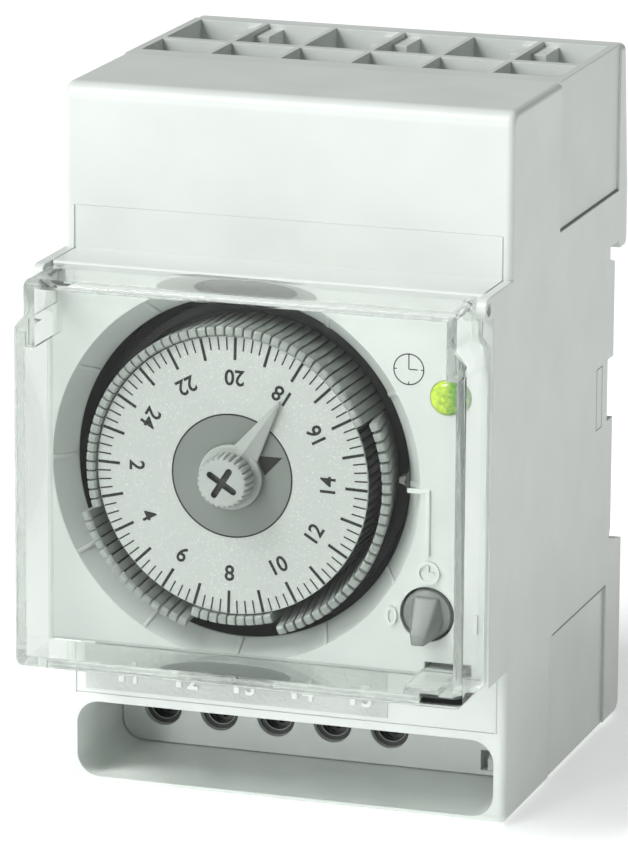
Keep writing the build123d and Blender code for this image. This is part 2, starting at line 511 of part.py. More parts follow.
with BuildPart() as dial_drum:
    with BuildSketch(around_dial()):
        face_back = DIAL_FACE_Y + DIAL_FACE_THICK
        with BuildLine():
            Polyline(
                (TUBE_R + RUNNING, face_back + 0.6), (CENTRE_DISC_R + 0.3, face_back + 0.6),
                (CENTRE_DISC_R + 0.3, face_back), (DIAL_FACE_R - 0.3, face_back),
                (DIAL_FACE_R - 0.3, FLANGE_Y[0]), (DIAL_FACE_R, FLANGE_Y[0]), (DIAL_FACE_R, GROOVE_FLOOR_Y),
                (TAPPET_OUT + 0.4, GROOVE_FLOOR_Y), (TAPPET_OUT + 0.4, FLANGE_Y[0]),
                (TAPPET_OUT + 1.4, FLANGE_Y[0]), (TAPPET_OUT + 1.4, FLANGE_Y[1]),
                (DIAL_FACE_R - 1.8, FLANGE_Y[1]), (DIAL_FACE_R - 1.8, face_back + 1.2),
                (TUBE_R + 2.5, face_back + 1.2), (TUBE_R + 2.5, DIAL_GEAR_Y), (TUBE_R + RUNNING, DIAL_GEAR_Y),
                close=True)
        make_face()
    revolve(axis=DIAL_AXIS)
    gear(*DIAL_GEAR, DIAL, DIAL_GEAR_Y, 1.0, phase=IDLER_ANGLE)
    disc(TUBE_R + RUNNING, DIAL, 0, 60, Mode.SUBTRACT)
save(dial_drum.part, "dial_drum")

with BuildPart() as dial_face:
    disc(DIAL_FACE_R, DIAL, DIAL_FACE_Y + DIAL_FACE_THICK, DIAL_FACE_THICK)
    disc(CENTRE_DISC_R + 0.15, DIAL, 0, 60, Mode.SUBTRACT)
save(dial_face.part, "dial_face")

# One tappet at angle 0: a leaf with a rounded foot in the drum's groove.
with BuildPart() as tappet:
    foot_r = (TAPPET_OUT - TAPPET_IN) / 2
    with BuildSketch(Plane.XY.offset(-TAPPET_WIDTH / 2)):
        with BuildLine():
            Line((TAPPET_IN, TAPPET_PIVOT_Y), (TAPPET_IN, TAPPET_TIP_Y + 0.2))
            Line((TAPPET_IN, TAPPET_TIP_Y + 0.2), (TAPPET_IN + 0.2, TAPPET_TIP_Y))
            Line((TAPPET_IN + 0.2, TAPPET_TIP_Y), (TAPPET_OUT - 0.2, TAPPET_TIP_Y))
            Line((TAPPET_OUT - 0.2, TAPPET_TIP_Y), (TAPPET_OUT, TAPPET_TIP_Y + 0.2))
            Line((TAPPET_OUT, TAPPET_TIP_Y + 0.2), (TAPPET_OUT, TAPPET_PIVOT_Y))
            ThreePointArc((TAPPET_OUT, TAPPET_PIVOT_Y), (TAPPET_PIVOT_R, TAPPET_PIVOT_Y + foot_r),
                          (TAPPET_IN, TAPPET_PIVOT_Y))
        make_face()
    extrude(amount=TAPPET_WIDTH)


def tappet_place(number, tilt):
    """Place of a tappet on the dial, tilted outwards about its foot."""
    angle = hour_angle((number + 0.5) * 24 / TAPPETS)
    turn = Location((DIAL_X, 0, DIAL_Z), (0, -angle, 0))
    lean = Location((TAPPET_PIVOT_R, TAPPET_PIVOT_Y, 0), (0, 0, tilt))
    return turn * lean * Location((-TAPPET_PIVOT_R, -TAPPET_PIVOT_Y, 0))


def switched_on(number):
    return any(first <= number < last for first, last in ON_SPANS)


for name, wanted in (("tappets_on", True), ("tappets_off", False)):
    with BuildPart() as tappet_group:
        for number in range(TAPPETS):
            if switched_on(number) is wanted and number not in HINGED:
                with Locations(tappet_place(number, TAPPET_TILT if wanted else 0)):
                    add(tappet.part)
    save(tappet_group.part, name)

for number in HINGED:
    with BuildPart() as single_tappet:
        with Locations(tappet_place(number, TAPPET_TILT if switched_on(number) else 0)):
            add(tappet.part)
    hour, minute = number // 4, number % 4 * 15
    save(single_tappet.part, f"tappet_{hour:02d}{minute:02d}")

# ---------------------------------------------------------------- centre of the dial
with BuildPart() as bearing_tube:
    tube_rear = FRONT_PLATE_Y + PLATE_THICK
    disc(TUBE_R, DIAL, tube_rear, tube_rear - DIAL_FACE_Y - 0.2)
    disc(ARBOR_R + RUNNING, DIAL, 0, 60, Mode.SUBTRACT)
save(bearing_tube.part, "bearing_tube")

with BuildPart() as centre_disc:
    disc(CENTRE_DISC_R, DIAL, DIAL_FACE_Y + 0.8, 0.8)
    disc(TUBE_R + 0.01, DIAL, DIAL_FACE_Y + 1, 0.8, Mode.SUBTRACT)
    disc(ARBOR_R + 0.2, DIAL, 0, 60, Mode.SUBTRACT)
save(centre_disc.part, "centre_disc")

HAND_FLANGE_Y = (-51.4, -50.8)
ARBOR_REAR_Y = -34.9
PIVOT_R = 0.6                                # thin rear end of the minute arbor
IDLER_WHEEL_Y, TRAIN_WHEEL_Y = -37.5, -35.3  # rear of the idler's wheel, and of the centre wheel
with BuildPart() as minute_arbor:
    disc(ARBOR_R, DIAL, ARBOR_REAR_Y, ARBOR_REAR_Y - KNOB_FRONT_Y - CROSS_DEPTH)
    disc(PIVOT_R, DIAL, REAR_PLATE_Y + PLATE_THICK - 0.1, 5)
    gear(*MINUTE_PINION, DIAL, IDLER_WHEEL_Y + 0.2, 1.5, phase=IDLER_ANGLE)
save(minute_arbor.part, "minute_arbor")

with BuildPart() as minute_hand:
    disc(KNOB_R + 0.6, DIAL, HAND_FLANGE_Y[1], HAND_FLANGE_Y[1] - HAND_FLANGE_Y[0])
    with BuildSketch(facing_front(HAND_FLANGE_Y[1])):
        with Locations(Location((DIAL_X, DIAL_Z, 0), (0, 0, HAND_ANGLE))):
            Polygon((2.2, -1.8), (HAND_LENGTH, -0.15), (HAND_LENGTH, 0.15), (2.2, 1.8), align=None)
    extrude(amount=0.9)
    disc(ARBOR_R, DIAL, 0, 60, Mode.SUBTRACT)
save(minute_hand.part, "minute_hand")

KNURLS = 26
with BuildPart() as setting_knob:
    knob_rear = HAND_FLANGE_Y[0] - 0.3
    disc(KNOB_R, DIAL, knob_rear, knob_rear - KNOB_FRONT_Y)
    with BuildSketch(facing_front(knob_rear)):
        for knurl in range(KNURLS):
            with Locations(from_dial(KNOB_R + 0.05, knurl * 360 / KNURLS)):
                Circle(0.2)
    extrude(amount=knob_rear - KNOB_FRONT_Y, mode=Mode.SUBTRACT)
    for turn in (0, 90):
        with BuildSketch(facing_front(KNOB_FRONT_Y + CROSS_DEPTH)):
            with Locations(Location((DIAL_X, DIAL_Z, 0), (0, 0, HAND_ANGLE + turn))):
                SlotOverall(*CROSS_SIZE)
        extrude(amount=2, mode=Mode.SUBTRACT)
    disc(ARBOR_R, DIAL, knob_rear, knob_rear - KNOB_FRONT_Y - CROSS_DEPTH, Mode.SUBTRACT)
save(setting_knob.part, "setting_knob")

# ---------------------------------------------------------------- movement
IDLER = from_dial(GEAR_DISTANCE, IDLER_ANGLE)
THIRD = from_dial(GEAR_DISTANCE, THIRD_ANGLE)
ROTOR = (THIRD[0] + GEAR_DISTANCE * cos(radians(ROTOR_ANGLE)),
         THIRD[1] + GEAR_DISTANCE * sin(radians(ROTOR_ANGLE)))
IDLER_ARBOR_R, THIRD_ARBOR_R, ROTOR_ARBOR_R = 0.8, 0.6, 0.5
PLATE_HALF_X, PLATE_HALF_Z = INNER_X - 1.1, BAND_HALF - 1.9
PILLAR_X, PILLAR_Z = (2.7 - PLATE_HALF_X, 9.5, PLATE_HALF_X - 1.6), PLATE_HALF_Z - 2.6
PILLARS = ((PILLAR_X[0], PILLAR_Z), (PILLAR_X[0], -PILLAR_Z),
           (PILLAR_X[1], -PILLAR_Z), (PILLAR_X[2], PILLAR_Z))
PILLAR_R = 1.6
PILLAR_SCREW_R, PILLAR_HEAD_R = 0.6, 1.5


def meshing(teeth, angle):
    """Phase that puts a gap of a gear opposite a tooth that points along the angle."""
    return angle + 180 + 180 / teeth


with BuildPart() as front_plate:
    block((-PLATE_HALF_X, PLATE_HALF_X), (FRONT_PLATE_Y, FRONT_PLATE_Y + PLATE_THICK),
          (-PLATE_HALF_Z, PLATE_HALF_Z))
    disc(TUBE_R, DIAL, 0, 60, Mode.SUBTRACT)
    disc(IDLER_ARBOR_R + RUNNING, IDLER, 0, 60, Mode.SUBTRACT)
    disc(THIRD_ARBOR_R + RUNNING, THIRD, 0, 60, Mode.SUBTRACT)
    disc(ROTOR_ARBOR_R + RUNNING, ROTOR, 0, 60, Mode.SUBTRACT)
    disc(SELECTOR_R, (SELECTOR_X, SELECTOR_Z), 0, 60, Mode.SUBTRACT)
    disc(LED_R, (LED_X, LED_Z), 0, 60, Mode.SUBTRACT)
save(front_plate.part, "front_plate")

with BuildPart() as rear_plate:
    block((-PLATE_HALF_X, PLATE_HALF_X), (REAR_PLATE_Y, REAR_PLATE_Y + PLATE_THICK),
          (-PLATE_HALF_Z, PLATE_HALF_Z))
    for radius, centre in ((PIVOT_R, DIAL), (IDLER_ARBOR_R, IDLER),
                           (THIRD_ARBOR_R, THIRD), (ROTOR_ARBOR_R, ROTOR)):
        disc(radius + RUNNING, centre, 0, 60, Mode.SUBTRACT)
    disc(LED_R, (LED_X, LED_Z), 0, 60, Mode.SUBTRACT)
    for centre in PILLARS:
        disc(PILLAR_SCREW_R + 0.25, centre, 0, 60, Mode.SUBTRACT)
save(rear_plate.part, "rear_plate")

with BuildPart() as plate_pillars:
    for centre in PILLARS:
        disc(PILLAR_R, centre, REAR_PLATE_Y, REAR_PLATE_Y - FRONT_PLATE_Y - PLATE_THICK)
        disc(PILLAR_SCREW_R, centre, REAR_PLATE_Y + 1, 5, Mode.SUBTRACT)
save(plate_pillars.part, "plate_pillars")

with BuildPart() as plate_screws:
    screw_rear = REAR_PLATE_Y + PLATE_THICK
    for centre in PILLARS:
        disc(PILLAR_HEAD_R, centre, screw_rear + 1.0, 1.0)
        disc(PILLAR_SCREW_R, centre, screw_rear + 0.1, 4.0)
        block((centre[0] - PILLAR_HEAD_R, centre[0] + PILLAR_HEAD_R), (screw_rear + 0.6, screw_rear + 2),
              (centre[1] - 0.2, centre[1] + 0.2), Mode.SUBTRACT)
save(plate_screws.part, "plate_screws")

with BuildPart() as idler_wheel:
    gear(*IDLER_WHEEL, IDLER, IDLER_WHEEL_Y, 1.1, phase=meshing(IDLER_WHEEL[0], IDLER_ANGLE))
    disc(IDLER_ARBOR_R, IDLER, REAR_PLATE_Y + PLATE_THICK - 0.1, 12.0)
    gear(*IDLER_PINION, IDLER, DIAL_GEAR_Y, 1.1, phase=meshing(IDLER_PINION[0], IDLER_ANGLE))
save(idler_wheel.part, "idler_wheel")

CLUTCH_R = 2.0
with BuildPart() as centre_wheel:
    gear(*TRAIN_WHEEL, DIAL, TRAIN_WHEEL_Y, 1.0, phase=THIRD_ANGLE)
    disc(CLUTCH_R + 0.2, DIAL, TRAIN_WHEEL_Y + 0.3, 1.5)
    disc(ARBOR_R + RUNNING, DIAL, 0, 60, Mode.SUBTRACT)
save(centre_wheel.part, "centre_wheel")

with BuildPart() as clutch_spring:
    disc(CLUTCH_R, DIAL, TRAIN_WHEEL_Y - 1.3, 0.35)
    disc(ARBOR_R, DIAL, 0, 60, Mode.SUBTRACT)
save(clutch_spring.part, "clutch_spring")

ROTOR_PINION_Y = -33.0
with BuildPart() as third_wheel:
    gear(*TRAIN_WHEEL, THIRD, ROTOR_PINION_Y - 0.4, 1.0, phase=ROTOR_ANGLE)
    disc(THIRD_ARBOR_R, THIRD, REAR_PLATE_Y + PLATE_THICK - 0.1, 9.2)
    gear(*TRAIN_PINION, THIRD, TRAIN_WHEEL_Y + 0.5, 1.8, phase=meshing(TRAIN_PINION[0], THIRD_ANGLE))
save(third_wheel.part, "third_wheel")

MAGNET_Y = (-29.6, -26.0)
MAGNET_R = 3.0
with BuildPart() as rotor_pinion:
    gear(*TRAIN_PINION, ROTOR, ROTOR_PINION_Y, 1.8, phase=meshing(TRAIN_PINION[0], ROTOR_ANGLE))
    disc(ROTOR_ARBOR_R, ROTOR, MAGNET_Y[1] + 0.4, MAGNET_Y[1] + 0.4 - FRONT_PLATE_Y - 0.3)
save(rotor_pinion.part, "rotor_pinion")

with BuildPart() as rotor_magnet:
    disc(MAGNET_R, ROTOR, MAGNET_Y[1], MAGNET_Y[1] - MAGNET_Y[0])
    disc(ROTOR_ARBOR_R, ROTOR, 0, 60, Mode.SUBTRACT)
save(rotor_magnet.part, "rotor_magnet")

STATOR_Y = (-28.4, -27.4)
COIL_Z = 15.5
COIL_X = (-11.0, 9.0)
with BuildPart() as stator:
    with BuildSketch(facing_front(STATOR_Y[1])):
        with Locations(ROTOR):
            Circle(MAGNET_R + 3.0)
        with Locations((-1.0, COIL_Z)):
            Rectangle(26.0, 2.4)
        with Locations((-12.8, 10.0)):
            Rectangle(3.0, 13.4)
        with Locations((-1.0, 5.0)):
            Rectangle(26.0, 3.0)
        with Locations((ROTOR[0], 12.0)):
            Rectangle(3.6, 9.0)
        with Locations(ROTOR):
            Circle(MAGNET_R + 0.4, mode=Mode.SUBTRACT)
    extrude(amount=STATOR_Y[1] - STATOR_Y[0])
save(stator.part, "stator")

with BuildPart() as coil_bobbin:
    coil_y = (STATOR_Y[0] + STATOR_Y[1]) / 2
    block(COIL_X, (coil_y - 1.1, coil_y + 1.1), (COIL_Z - 1.8, COIL_Z + 1.8))
    for end in (COIL_X[0], COIL_X[1] - 0.8):
        block((end, end + 0.8), (coil_y - 1.7, coil_y + 3.6), (COIL_Z - 3.6, COIL_Z + 3.6))
    block((-20, 20), (STATOR_Y[0] - SEAM, STATOR_Y[1] + SEAM), (COIL_Z - 1.25, COIL_Z + 1.25), Mode.SUBTRACT)
    block((ROTOR[0] - 2.0, 20), (STATOR_Y[0] - SEAM, STATOR_Y[1] + SEAM), (COIL_Z - 4, COIL_Z), Mode.SUBTRACT)
save(coil_bobbin.part, "coil_bobbin")

with BuildPart() as coil_winding:
    block((COIL_X[0] + 0.8, COIL_X[1] - 0.8), (coil_y - 1.6, coil_y + 3.3), (COIL_Z - 3.3, COIL_Z + 3.3))
    fillet(edges().filter_by(Axis.X), 1.2)
    block((-20, 20), (coil_y - 1.1, coil_y + 1.1), (COIL_Z - 1.8, COIL_Z + 1.8), Mode.SUBTRACT)
save(coil_winding.part, "coil_winding")

# ---------------------------------------------------------------- switch
FEELER_TIP_X = DIAL_X + TAPPET_OUT + 1.0     # clear of the tappets that are out, all over its swing
FEELER_ARM_X = FEELER_TIP_X + 4.5            # edge of the arm that faces the dial
FEELER_PIVOT = (FEELER_ARM_X + 1.5, 6.0)
FEELER_HUB_R, FEELER_PIN_R = 1.5, 0.6
FEELER_END_Z = -7.0
PLUNGER_Z, PLUNGER_HALF = -4.6, 0.65
with BuildPart() as feeler_lever:
    with BuildSketch(facing_front(FEELER_Y[1])):
        with Locations(FEELER_PIVOT):
            Circle(FEELER_HUB_R)
        with BuildLine():
            Polyline((FEELER_ARM_X + 0.6, FEELER_PIVOT[1]), (FEELER_ARM_X, DIAL_Z + 0.9),
                     (FEELER_TIP_X + 1.2, DIAL_Z + 0.7), (FEELER_TIP_X, DIAL_Z + 0.3),
                     (FEELER_TIP_X, DIAL_Z - 0.3), (FEELER_TIP_X + 1.2, DIAL_Z - 0.7),
                     (FEELER_ARM_X, DIAL_Z - 0.9), (FEELER_ARM_X + 0.2, FEELER_END_Z),
                     (FEELER_ARM_X + 1.7, FEELER_END_Z), (FEELER_ARM_X + 2.3, FEELER_PIVOT[1]), close=True)
        make_face()
        with Locations(FEELER_PIVOT):
            Circle(FEELER_PIN_R + RUNNING, mode=Mode.SUBTRACT)
    extrude(amount=FEELER_Y[1] - FEELER_Y[0])
save(feeler_lever.part, "feeler_lever")

with BuildPart() as feeler_pin:
    disc(FEELER_PIN_R, FEELER_PIVOT, FRONT_PLATE_Y, FRONT_PLATE_Y - FEELER_Y[0] + 0.6)
save(feeler_pin.part, "feeler_pin")

SWITCH_X = (FEELER_ARM_X + 2.6, FEELER_ARM_X + 4.6)
SWITCH_Y, SWITCH_Z = (-47.0, -41.0), (-10.0, -0.6)
SWITCH_WALL = (0.5, 0.8)                     # across X, and across Y and Z
PLUNGER_X = (SWITCH_X[0] - 0.65, SWITCH_X[0] + 0.8)
CONTACT_X, CONTACT_Y = (SWITCH_X[1] - 0.8, SWITCH_X[1] - 0.55), (-46.0, -42.4)
with BuildPart() as switch_body:
    block(SWITCH_X, SWITCH_Y, SWITCH_Z)
    block((SWITCH_X[0] + SWITCH_WALL[0], SWITCH_X[1] - SWITCH_WALL[0]),
          (SWITCH_Y[0] + SWITCH_WALL[1], SWITCH_Y[1] - SWITCH_WALL[1]),
          (SWITCH_Z[0] + SWITCH_WALL[1], SWITCH_Z[1] - SWITCH_WALL[1]), Mode.SUBTRACT)
    block((SWITCH_X[0] - 1, SWITCH_X[0] + 1), FEELER_Y,
          (PLUNGER_Z - PLUNGER_HALF - RUNNING, PLUNGER_Z + PLUNGER_HALF + RUNNING), Mode.SUBTRACT)
save(switch_body.part, "switch_body")

with BuildPart() as switch_plunger:
    block(PLUNGER_X, (FEELER_Y[0] + RUNNING, FEELER_Y[1] - RUNNING),
          (PLUNGER_Z - PLUNGER_HALF, PLUNGER_Z + PLUNGER_HALF))
save(switch_plunger.part, "switch_plunger")

with BuildPart() as switch_contacts:
    block(CONTACT_X, CONTACT_Y, (-8.8, -6.2))
    block(CONTACT_X, CONTACT_Y, (-4.0, -1.6))
save(switch_contacts.part, "switch_contacts")

FIN_HALF = 0.85          # half thickness of the selector's fin
with BuildPart() as selector_knob:
    base_y = FASCIA_Y + 0.4
    centre = (SELECTOR_X, SELECTOR_Z)
    disc(SELECTOR_R, centre, base_y + 1.6, 1.6)
    disc(SELECTOR_R / 2, centre, FRONT_PLATE_Y + 0.6, FRONT_PLATE_Y + 0.6 - base_y - 0.5)
    with BuildSketch(Plane(origin=(SELECTOR_X, 0, 0), x_dir=(0, 1, 0), z_dir=(1, 0, 0))):
        with BuildLine():
            Polyline((base_y + 0.2, SELECTOR_Z + 2.8), (base_y - 0.8, SELECTOR_Z + 2.6),
                     (base_y - 4.0, SELECTOR_Z - 1.0), (base_y - 4.0, SELECTOR_Z - 2.7),
                     (base_y + 0.2, SELECTOR_Z - 2.7), close=True)
        make_face()
    extrude(amount=FIN_HALF, both=True)
save(selector_knob.part, "selector_knob")

# ---------------------------------------------------------------- electronics
PCB_Y = (PCB_REAR_Y - PCB_THICK, PCB_REAR_Y)
with BuildPart() as circuit_board:
    block((-INNER_X + 0.8, INNER_X - 0.8), PCB_Y, (-20.8, 20.8))
save(circuit_board.part, "circuit_board")

with BuildPart() as backup_battery:
    disc(5.8, (-12.0, 8.0), PCB_Y[1] + 6.2, 6.1)
    fillet(edges().filter_by(GeomType.CIRCLE), 0.6)
save(backup_battery.part, "backup_battery")

with BuildPart() as quartz_crystal:
    disc(1.0, (4.0, 2.0), PCB_Y[1] + 6.1, 6.0)
save(quartz_crystal.part, "quartz_crystal")

with BuildPart() as board_parts:
    block((8.0, 21.0), (PCB_Y[1] + 0.05, PCB_Y[1] + 6.0), (8.0, 18.0))
    block((8.0, 20.0), (PCB_Y[1] + 0.05, PCB_Y[1] + 9.0), (-12.0, -2.0))
    for step in range(4):
        x = -20.0 + step * 5.0
        block((x, x + 2.4), (PCB_Y[1] + 0.05, PCB_Y[1] + 1.3), (-14.0, -8.0))
save(board_parts.part, "board_parts")

LED_LENGTH = 2.6
with BuildPart() as led:
    disc(LED_STEM_R, (LED_X, LED_Z), PCB_Y[0] - 0.05, LED_LENGTH)
save(led.part, "led")

with BuildPart() as led_lens:
    disc(LED_R, (LED_X, LED_Z), FASCIA_Y + 2.4, 2.8)
    fillet(edges().filter_by(GeomType.CIRCLE).sort_by(Axis.Y)[0], 0.5)
    stem_rear = PCB_Y[0] - LED_LENGTH - 0.6
    disc(LED_STEM_R, (LED_X, LED_Z), stem_rear, stem_rear - FASCIA_Y - 1.0)
save(led_lens.part, "led_lens")
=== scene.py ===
"""Looks of a rail-mounted analogue time switch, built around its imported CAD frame.

Sizes are written in millimetres and turned into metres by MM. X runs to the right, Y back
towards the rail and Z up, so the front of the object faces -Y.
"""
from math import cos, pi, radians, sin

import bmesh
import bpy
from mathutils import Matrix, Vector


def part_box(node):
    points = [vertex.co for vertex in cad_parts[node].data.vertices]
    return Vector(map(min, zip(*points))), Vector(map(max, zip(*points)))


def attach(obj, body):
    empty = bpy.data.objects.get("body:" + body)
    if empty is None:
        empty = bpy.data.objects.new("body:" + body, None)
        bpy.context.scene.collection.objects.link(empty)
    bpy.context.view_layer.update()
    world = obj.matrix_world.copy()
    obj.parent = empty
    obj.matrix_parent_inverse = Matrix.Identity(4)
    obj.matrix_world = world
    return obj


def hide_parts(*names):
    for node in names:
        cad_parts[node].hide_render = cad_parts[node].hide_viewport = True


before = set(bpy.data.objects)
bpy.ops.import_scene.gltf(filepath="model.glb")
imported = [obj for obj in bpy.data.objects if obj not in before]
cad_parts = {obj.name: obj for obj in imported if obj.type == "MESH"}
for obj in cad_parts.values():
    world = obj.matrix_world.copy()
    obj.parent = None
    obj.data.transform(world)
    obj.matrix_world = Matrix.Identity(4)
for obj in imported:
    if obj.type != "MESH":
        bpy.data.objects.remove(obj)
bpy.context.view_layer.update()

MM = 0.001


# ---------------------------------------------------------------- places taken from the frame
def span(node):
    """Lowest and highest corner of a CAD node, in millimetres."""
    low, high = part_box(node)
    return low / MM, high / MM


face_low, face_high = span("dial_face")
DIAL_X, DIAL_Z = (face_low.x + face_high.x) / 2, (face_low.z + face_high.z) / 2
DIAL_FACE_Y = face_low.y
DIAL_FACE_R = (face_high.x - face_low.x) / 2

FASCIA_Y = span("front_frame")[0].y
label_low, label_high = span("terminal_label")
SHOULDER_Y = label_high.y
housing_low, housing_high = span("rear_housing")
SIDE_X, BOTTOM_Z = housing_high.x, housing_low.z
cover_low = span("clear_cover")[0]
disc_low, disc_high = span("centre_disc")
CENTRE_DISC_R = (disc_high.x - disc_low.x) / 2
knob_low, knob_high = span("setting_knob")
hand_low, hand_high = span("minute_hand")
selector_low, selector_high = span("selector_knob")
SELECTOR_X, SELECTOR_Z = (selector_low.x + selector_high.x) / 2, (selector_low.z + selector_high.z) / 2
lens_low, lens_high = span("led_lens")
LED_X, LED_Z = (lens_low.x + lens_high.x) / 2, (lens_low.z + lens_high.z) / 2
TERMINAL_X = [sum((corner.x for corner in span(f"terminal_screw_{i}"))) / 2 for i in range(1, 6)]

DISH_OUTER_R, DISH_INNER_R, DISH_DEPTH = 21.8, 19.7, 3.0
HOUR_SHOWN = 14.09                     # the hour of the dial that stands at the index
HAND_ANGLE = 90 - HOUR_SHOWN % 1 * 360  # anticlockwise from +X, seen from the front


def hour_angle(hour):
    """Where an hour of the dial stands, anticlockwise from +X, seen from the front."""
    return (hour - HOUR_SHOWN) * 360 / 24


# ---------------------------------------------------------------- materials
def add_node(material, kind, values=None, **settings):
    node = material.node_tree.nodes.new(kind)
    for name, value in settings.items():
        setattr(node, name, value)
    for name, value in (values or {}).items():
        node.inputs[name].default_value = value
    return node


def principled(name, colour, roughness, values=None):
    """A Principled material, its shader node, and a shorthand for linking sockets."""
    material = bpy.data.materials.new(name)
    material.use_nodes = True
    material.diffuse_color = (*colour, 1)
    shader = material.node_tree.nodes["Principled BSDF"]
    shader.inputs["Base Color"].default_value = (*colour, 1)
    shader.inputs["Roughness"].default_value = roughness
    for socket, value in (values or {}).items():
        shader.inputs[socket].default_value = value
    return material, shader, material.node_tree.links.new


def noise(material, size, detail=2.0, roughness=0.5):
    """Noise whose features are about size millimetres across."""
    place = add_node(material, "ShaderNodeTexCoord")
    texture = add_node(material, "ShaderNodeTexNoise",
                       {"Scale": 1 / (size * MM), "Detail": detail, "Roughness": roughness})
    material.node_tree.links.new(place.outputs["Object"], texture.inputs["Vector"])
    return texture.outputs["Fac"]


def remap(material, source, low, high, from_low=0.3, from_high=0.7):
    node = add_node(material, "ShaderNodeMapRange",
                    {"From Min": from_low, "From Max": from_high, "To Min": low, "To Max": high})
    material.node_tree.links.new(source, node.inputs["Value"])
    return node.outputs["Result"]


def tint(material, source, dark, light):
    """Colour between two tones, chosen by source."""
    node = add_node(material, "ShaderNodeMix", data_type="RGBA")
    material.node_tree.links.new(source, node.inputs["Factor"])
    node.inputs["A"].default_value = (*dark, 1)
    node.inputs["B"].default_value = (*light, 1)
    return node.outputs["Result"]


def shade(colour, factor):
    return tuple(min(1.0, channel * factor) for channel in colour)


def moulded(name, colour, roughness=0.45, grain=0.22, depth=0.006, mottle=0.03, edge=0.18, values=None):
    """Moulded plastic: spark-eroded grain, slight mottling, and edges that catch the light.

    grain and edge are in millimetres, depth is the height of the grain in millimetres.
    """
    material, shader, link = principled(name, colour, roughness, values)
    cloud = noise(material, 9.0)
    link(tint(material, remap(material, cloud, 0, 1), shade(colour, 1 - mottle), shade(colour, 1 + mottle)),
         shader.inputs["Base Color"])
    fine = noise(material, grain, detail=3.0)
    link(remap(material, fine, roughness - 0.06, roughness + 0.06), shader.inputs["Roughness"])
    bump = add_node(material, "ShaderNodeBump", {"Strength": 1.0, "Distance": depth * MM})
    link(fine, bump.inputs["Height"])
    if edge:
        rounded = add_node(material, "ShaderNodeBevel", {"Radius": edge * MM}, samples=4)
        link(rounded.outputs["Normal"], bump.inputs["Normal"])
    link(bump.outputs["Normal"], shader.inputs["Normal"])
    return material


def metal(name, colour, roughness, brush=0.08, stretch=(1, 12, 1)):
    """Metal with fine tool marks that run along Y unless stretch says otherwise."""
    material, shader, link = principled(name, colour, roughness, {"Metallic": 1.0})
    place = add_node(material, "ShaderNodeTexCoord")
    mapping = add_node(material, "ShaderNodeMapping")
    mapping.inputs["Scale"].default_value = [1 / factor for factor in stretch]
    link(place.outputs["Object"], mapping.inputs["Vector"])
    marks = add_node(material, "ShaderNodeTexNoise", {"Scale": 1 / (brush * MM), "Detail": 4.0})
    link(mapping.outputs["Vector"], marks.inputs["Vector"])
    link(remap(material, marks.outputs["Fac"], roughness - 0.1, roughness + 0.1), shader.inputs["Roughness"])
    link(tint(material, remap(material, noise(material, 2.5), 0, 1), shade(colour, 0.85), colour),
         shader.inputs["Base Color"])
    bump = add_node(material, "ShaderNodeBump", {"Strength": 0.4, "Distance": 0.01 * MM})
    link(marks.outputs["Fac"], bump.inputs["Height"])
    link(bump.outputs["Normal"], shader.inputs["Normal"])
    return material


def speckled(name, colour, fleck):
    """Silver-white foil of the dial: a matt ground with small bright flecks."""
    material, shader, link = principled(name, colour, 0.42, {"Specular IOR Level": 0.45})
    place = add_node(material, "ShaderNodeTexCoord")
    cells = add_node(material, "ShaderNodeTexVoronoi", {"Scale": 1 / (0.34 * MM)})
    link(place.outputs["Object"], cells.inputs["Vector"])
    flecks = remap(material, cells.outputs["Distance"], 1, 0, from_low=0.12, from_high=0.26)
    link(tint(material, flecks, colour, fleck), shader.inputs["Base Color"])
    link(remap(material, noise(material, 0.3), 0.34, 0.5), shader.inputs["Roughness"])
    bump = add_node(material, "ShaderNodeBump", {"Strength": 0.6, "Distance": 0.004 * MM})
    link(noise(material, 0.15), bump.inputs["Height"])
    link(bump.outputs["Normal"], shader.inputs["Normal"])
    return material


def clear(name, colour, roughness, ripple=0.004):
    """Clear injection-moulded plastic. Lamps shine through it, so what is behind it is lit.

    Its IOR is below that of the real plastic (about 1.49), which turned the walls' edges black.
    """
    material, shader, link = principled(name, colour, roughness, {"Transmission Weight": 1.0, "IOR": 1.22,
                                         "Specular IOR Level": 0.3})
    bump = add_node(material, "ShaderNodeBump", {"Strength": 0.5, "Distance": ripple * MM})
    link(noise(material, 7.0, detail=1.0), bump.inputs["Height"])
    link(bump.outputs["Normal"], shader.inputs["Normal"])
    path = add_node(material, "ShaderNodeLightPath")
    passing = add_node(material, "ShaderNodeBsdfTransparent", {"Color": (0.53, 0.54, 0.535, 1)})
    mix = add_node(material, "ShaderNodeMixShader")
    link(path.outputs["Is Shadow Ray"], mix.inputs[0])
    link(shader.outputs["BSDF"], mix.inputs[1])
    link(passing.outputs["BSDF"], mix.inputs[2])
    link(mix.outputs["Shader"], material.node_tree.nodes["Material Output"].inputs["Surface"])
    return material


def lens_plastic(name, bright, deep):
    """Lit light pipe: bright yellow-green at its left, mottled deeper green towards its right rim."""
    material, shader, link = principled(name, bright, 0.12, {"Coat Weight": 0.6, "Emission Strength": 0.12})
    place = add_node(material, "ShaderNodeTexCoord")
    across = add_node(material, "ShaderNodeSeparateXYZ")
    link(place.outputs["Object"], across.inputs["Vector"])
    slope = remap(material, across.outputs["X"], 0.75, 0.0, (LED_X - 0.6) * MM, (LED_X + 1.2) * MM)
    patches = remap(material, noise(material, 0.5, detail=4.0, roughness=0.75), -0.35, 0.35, 0.35, 0.65)
    mixed = add_node(material, "ShaderNodeMath", operation="ADD", use_clamp=True)
    link(slope, mixed.inputs[0])
    link(patches, mixed.inputs[1])
    colour = tint(material, mixed.outputs["Value"], deep, bright)
    link(colour, shader.inputs["Base Color"])
    link(colour, shader.inputs["Emission Color"])
    return material


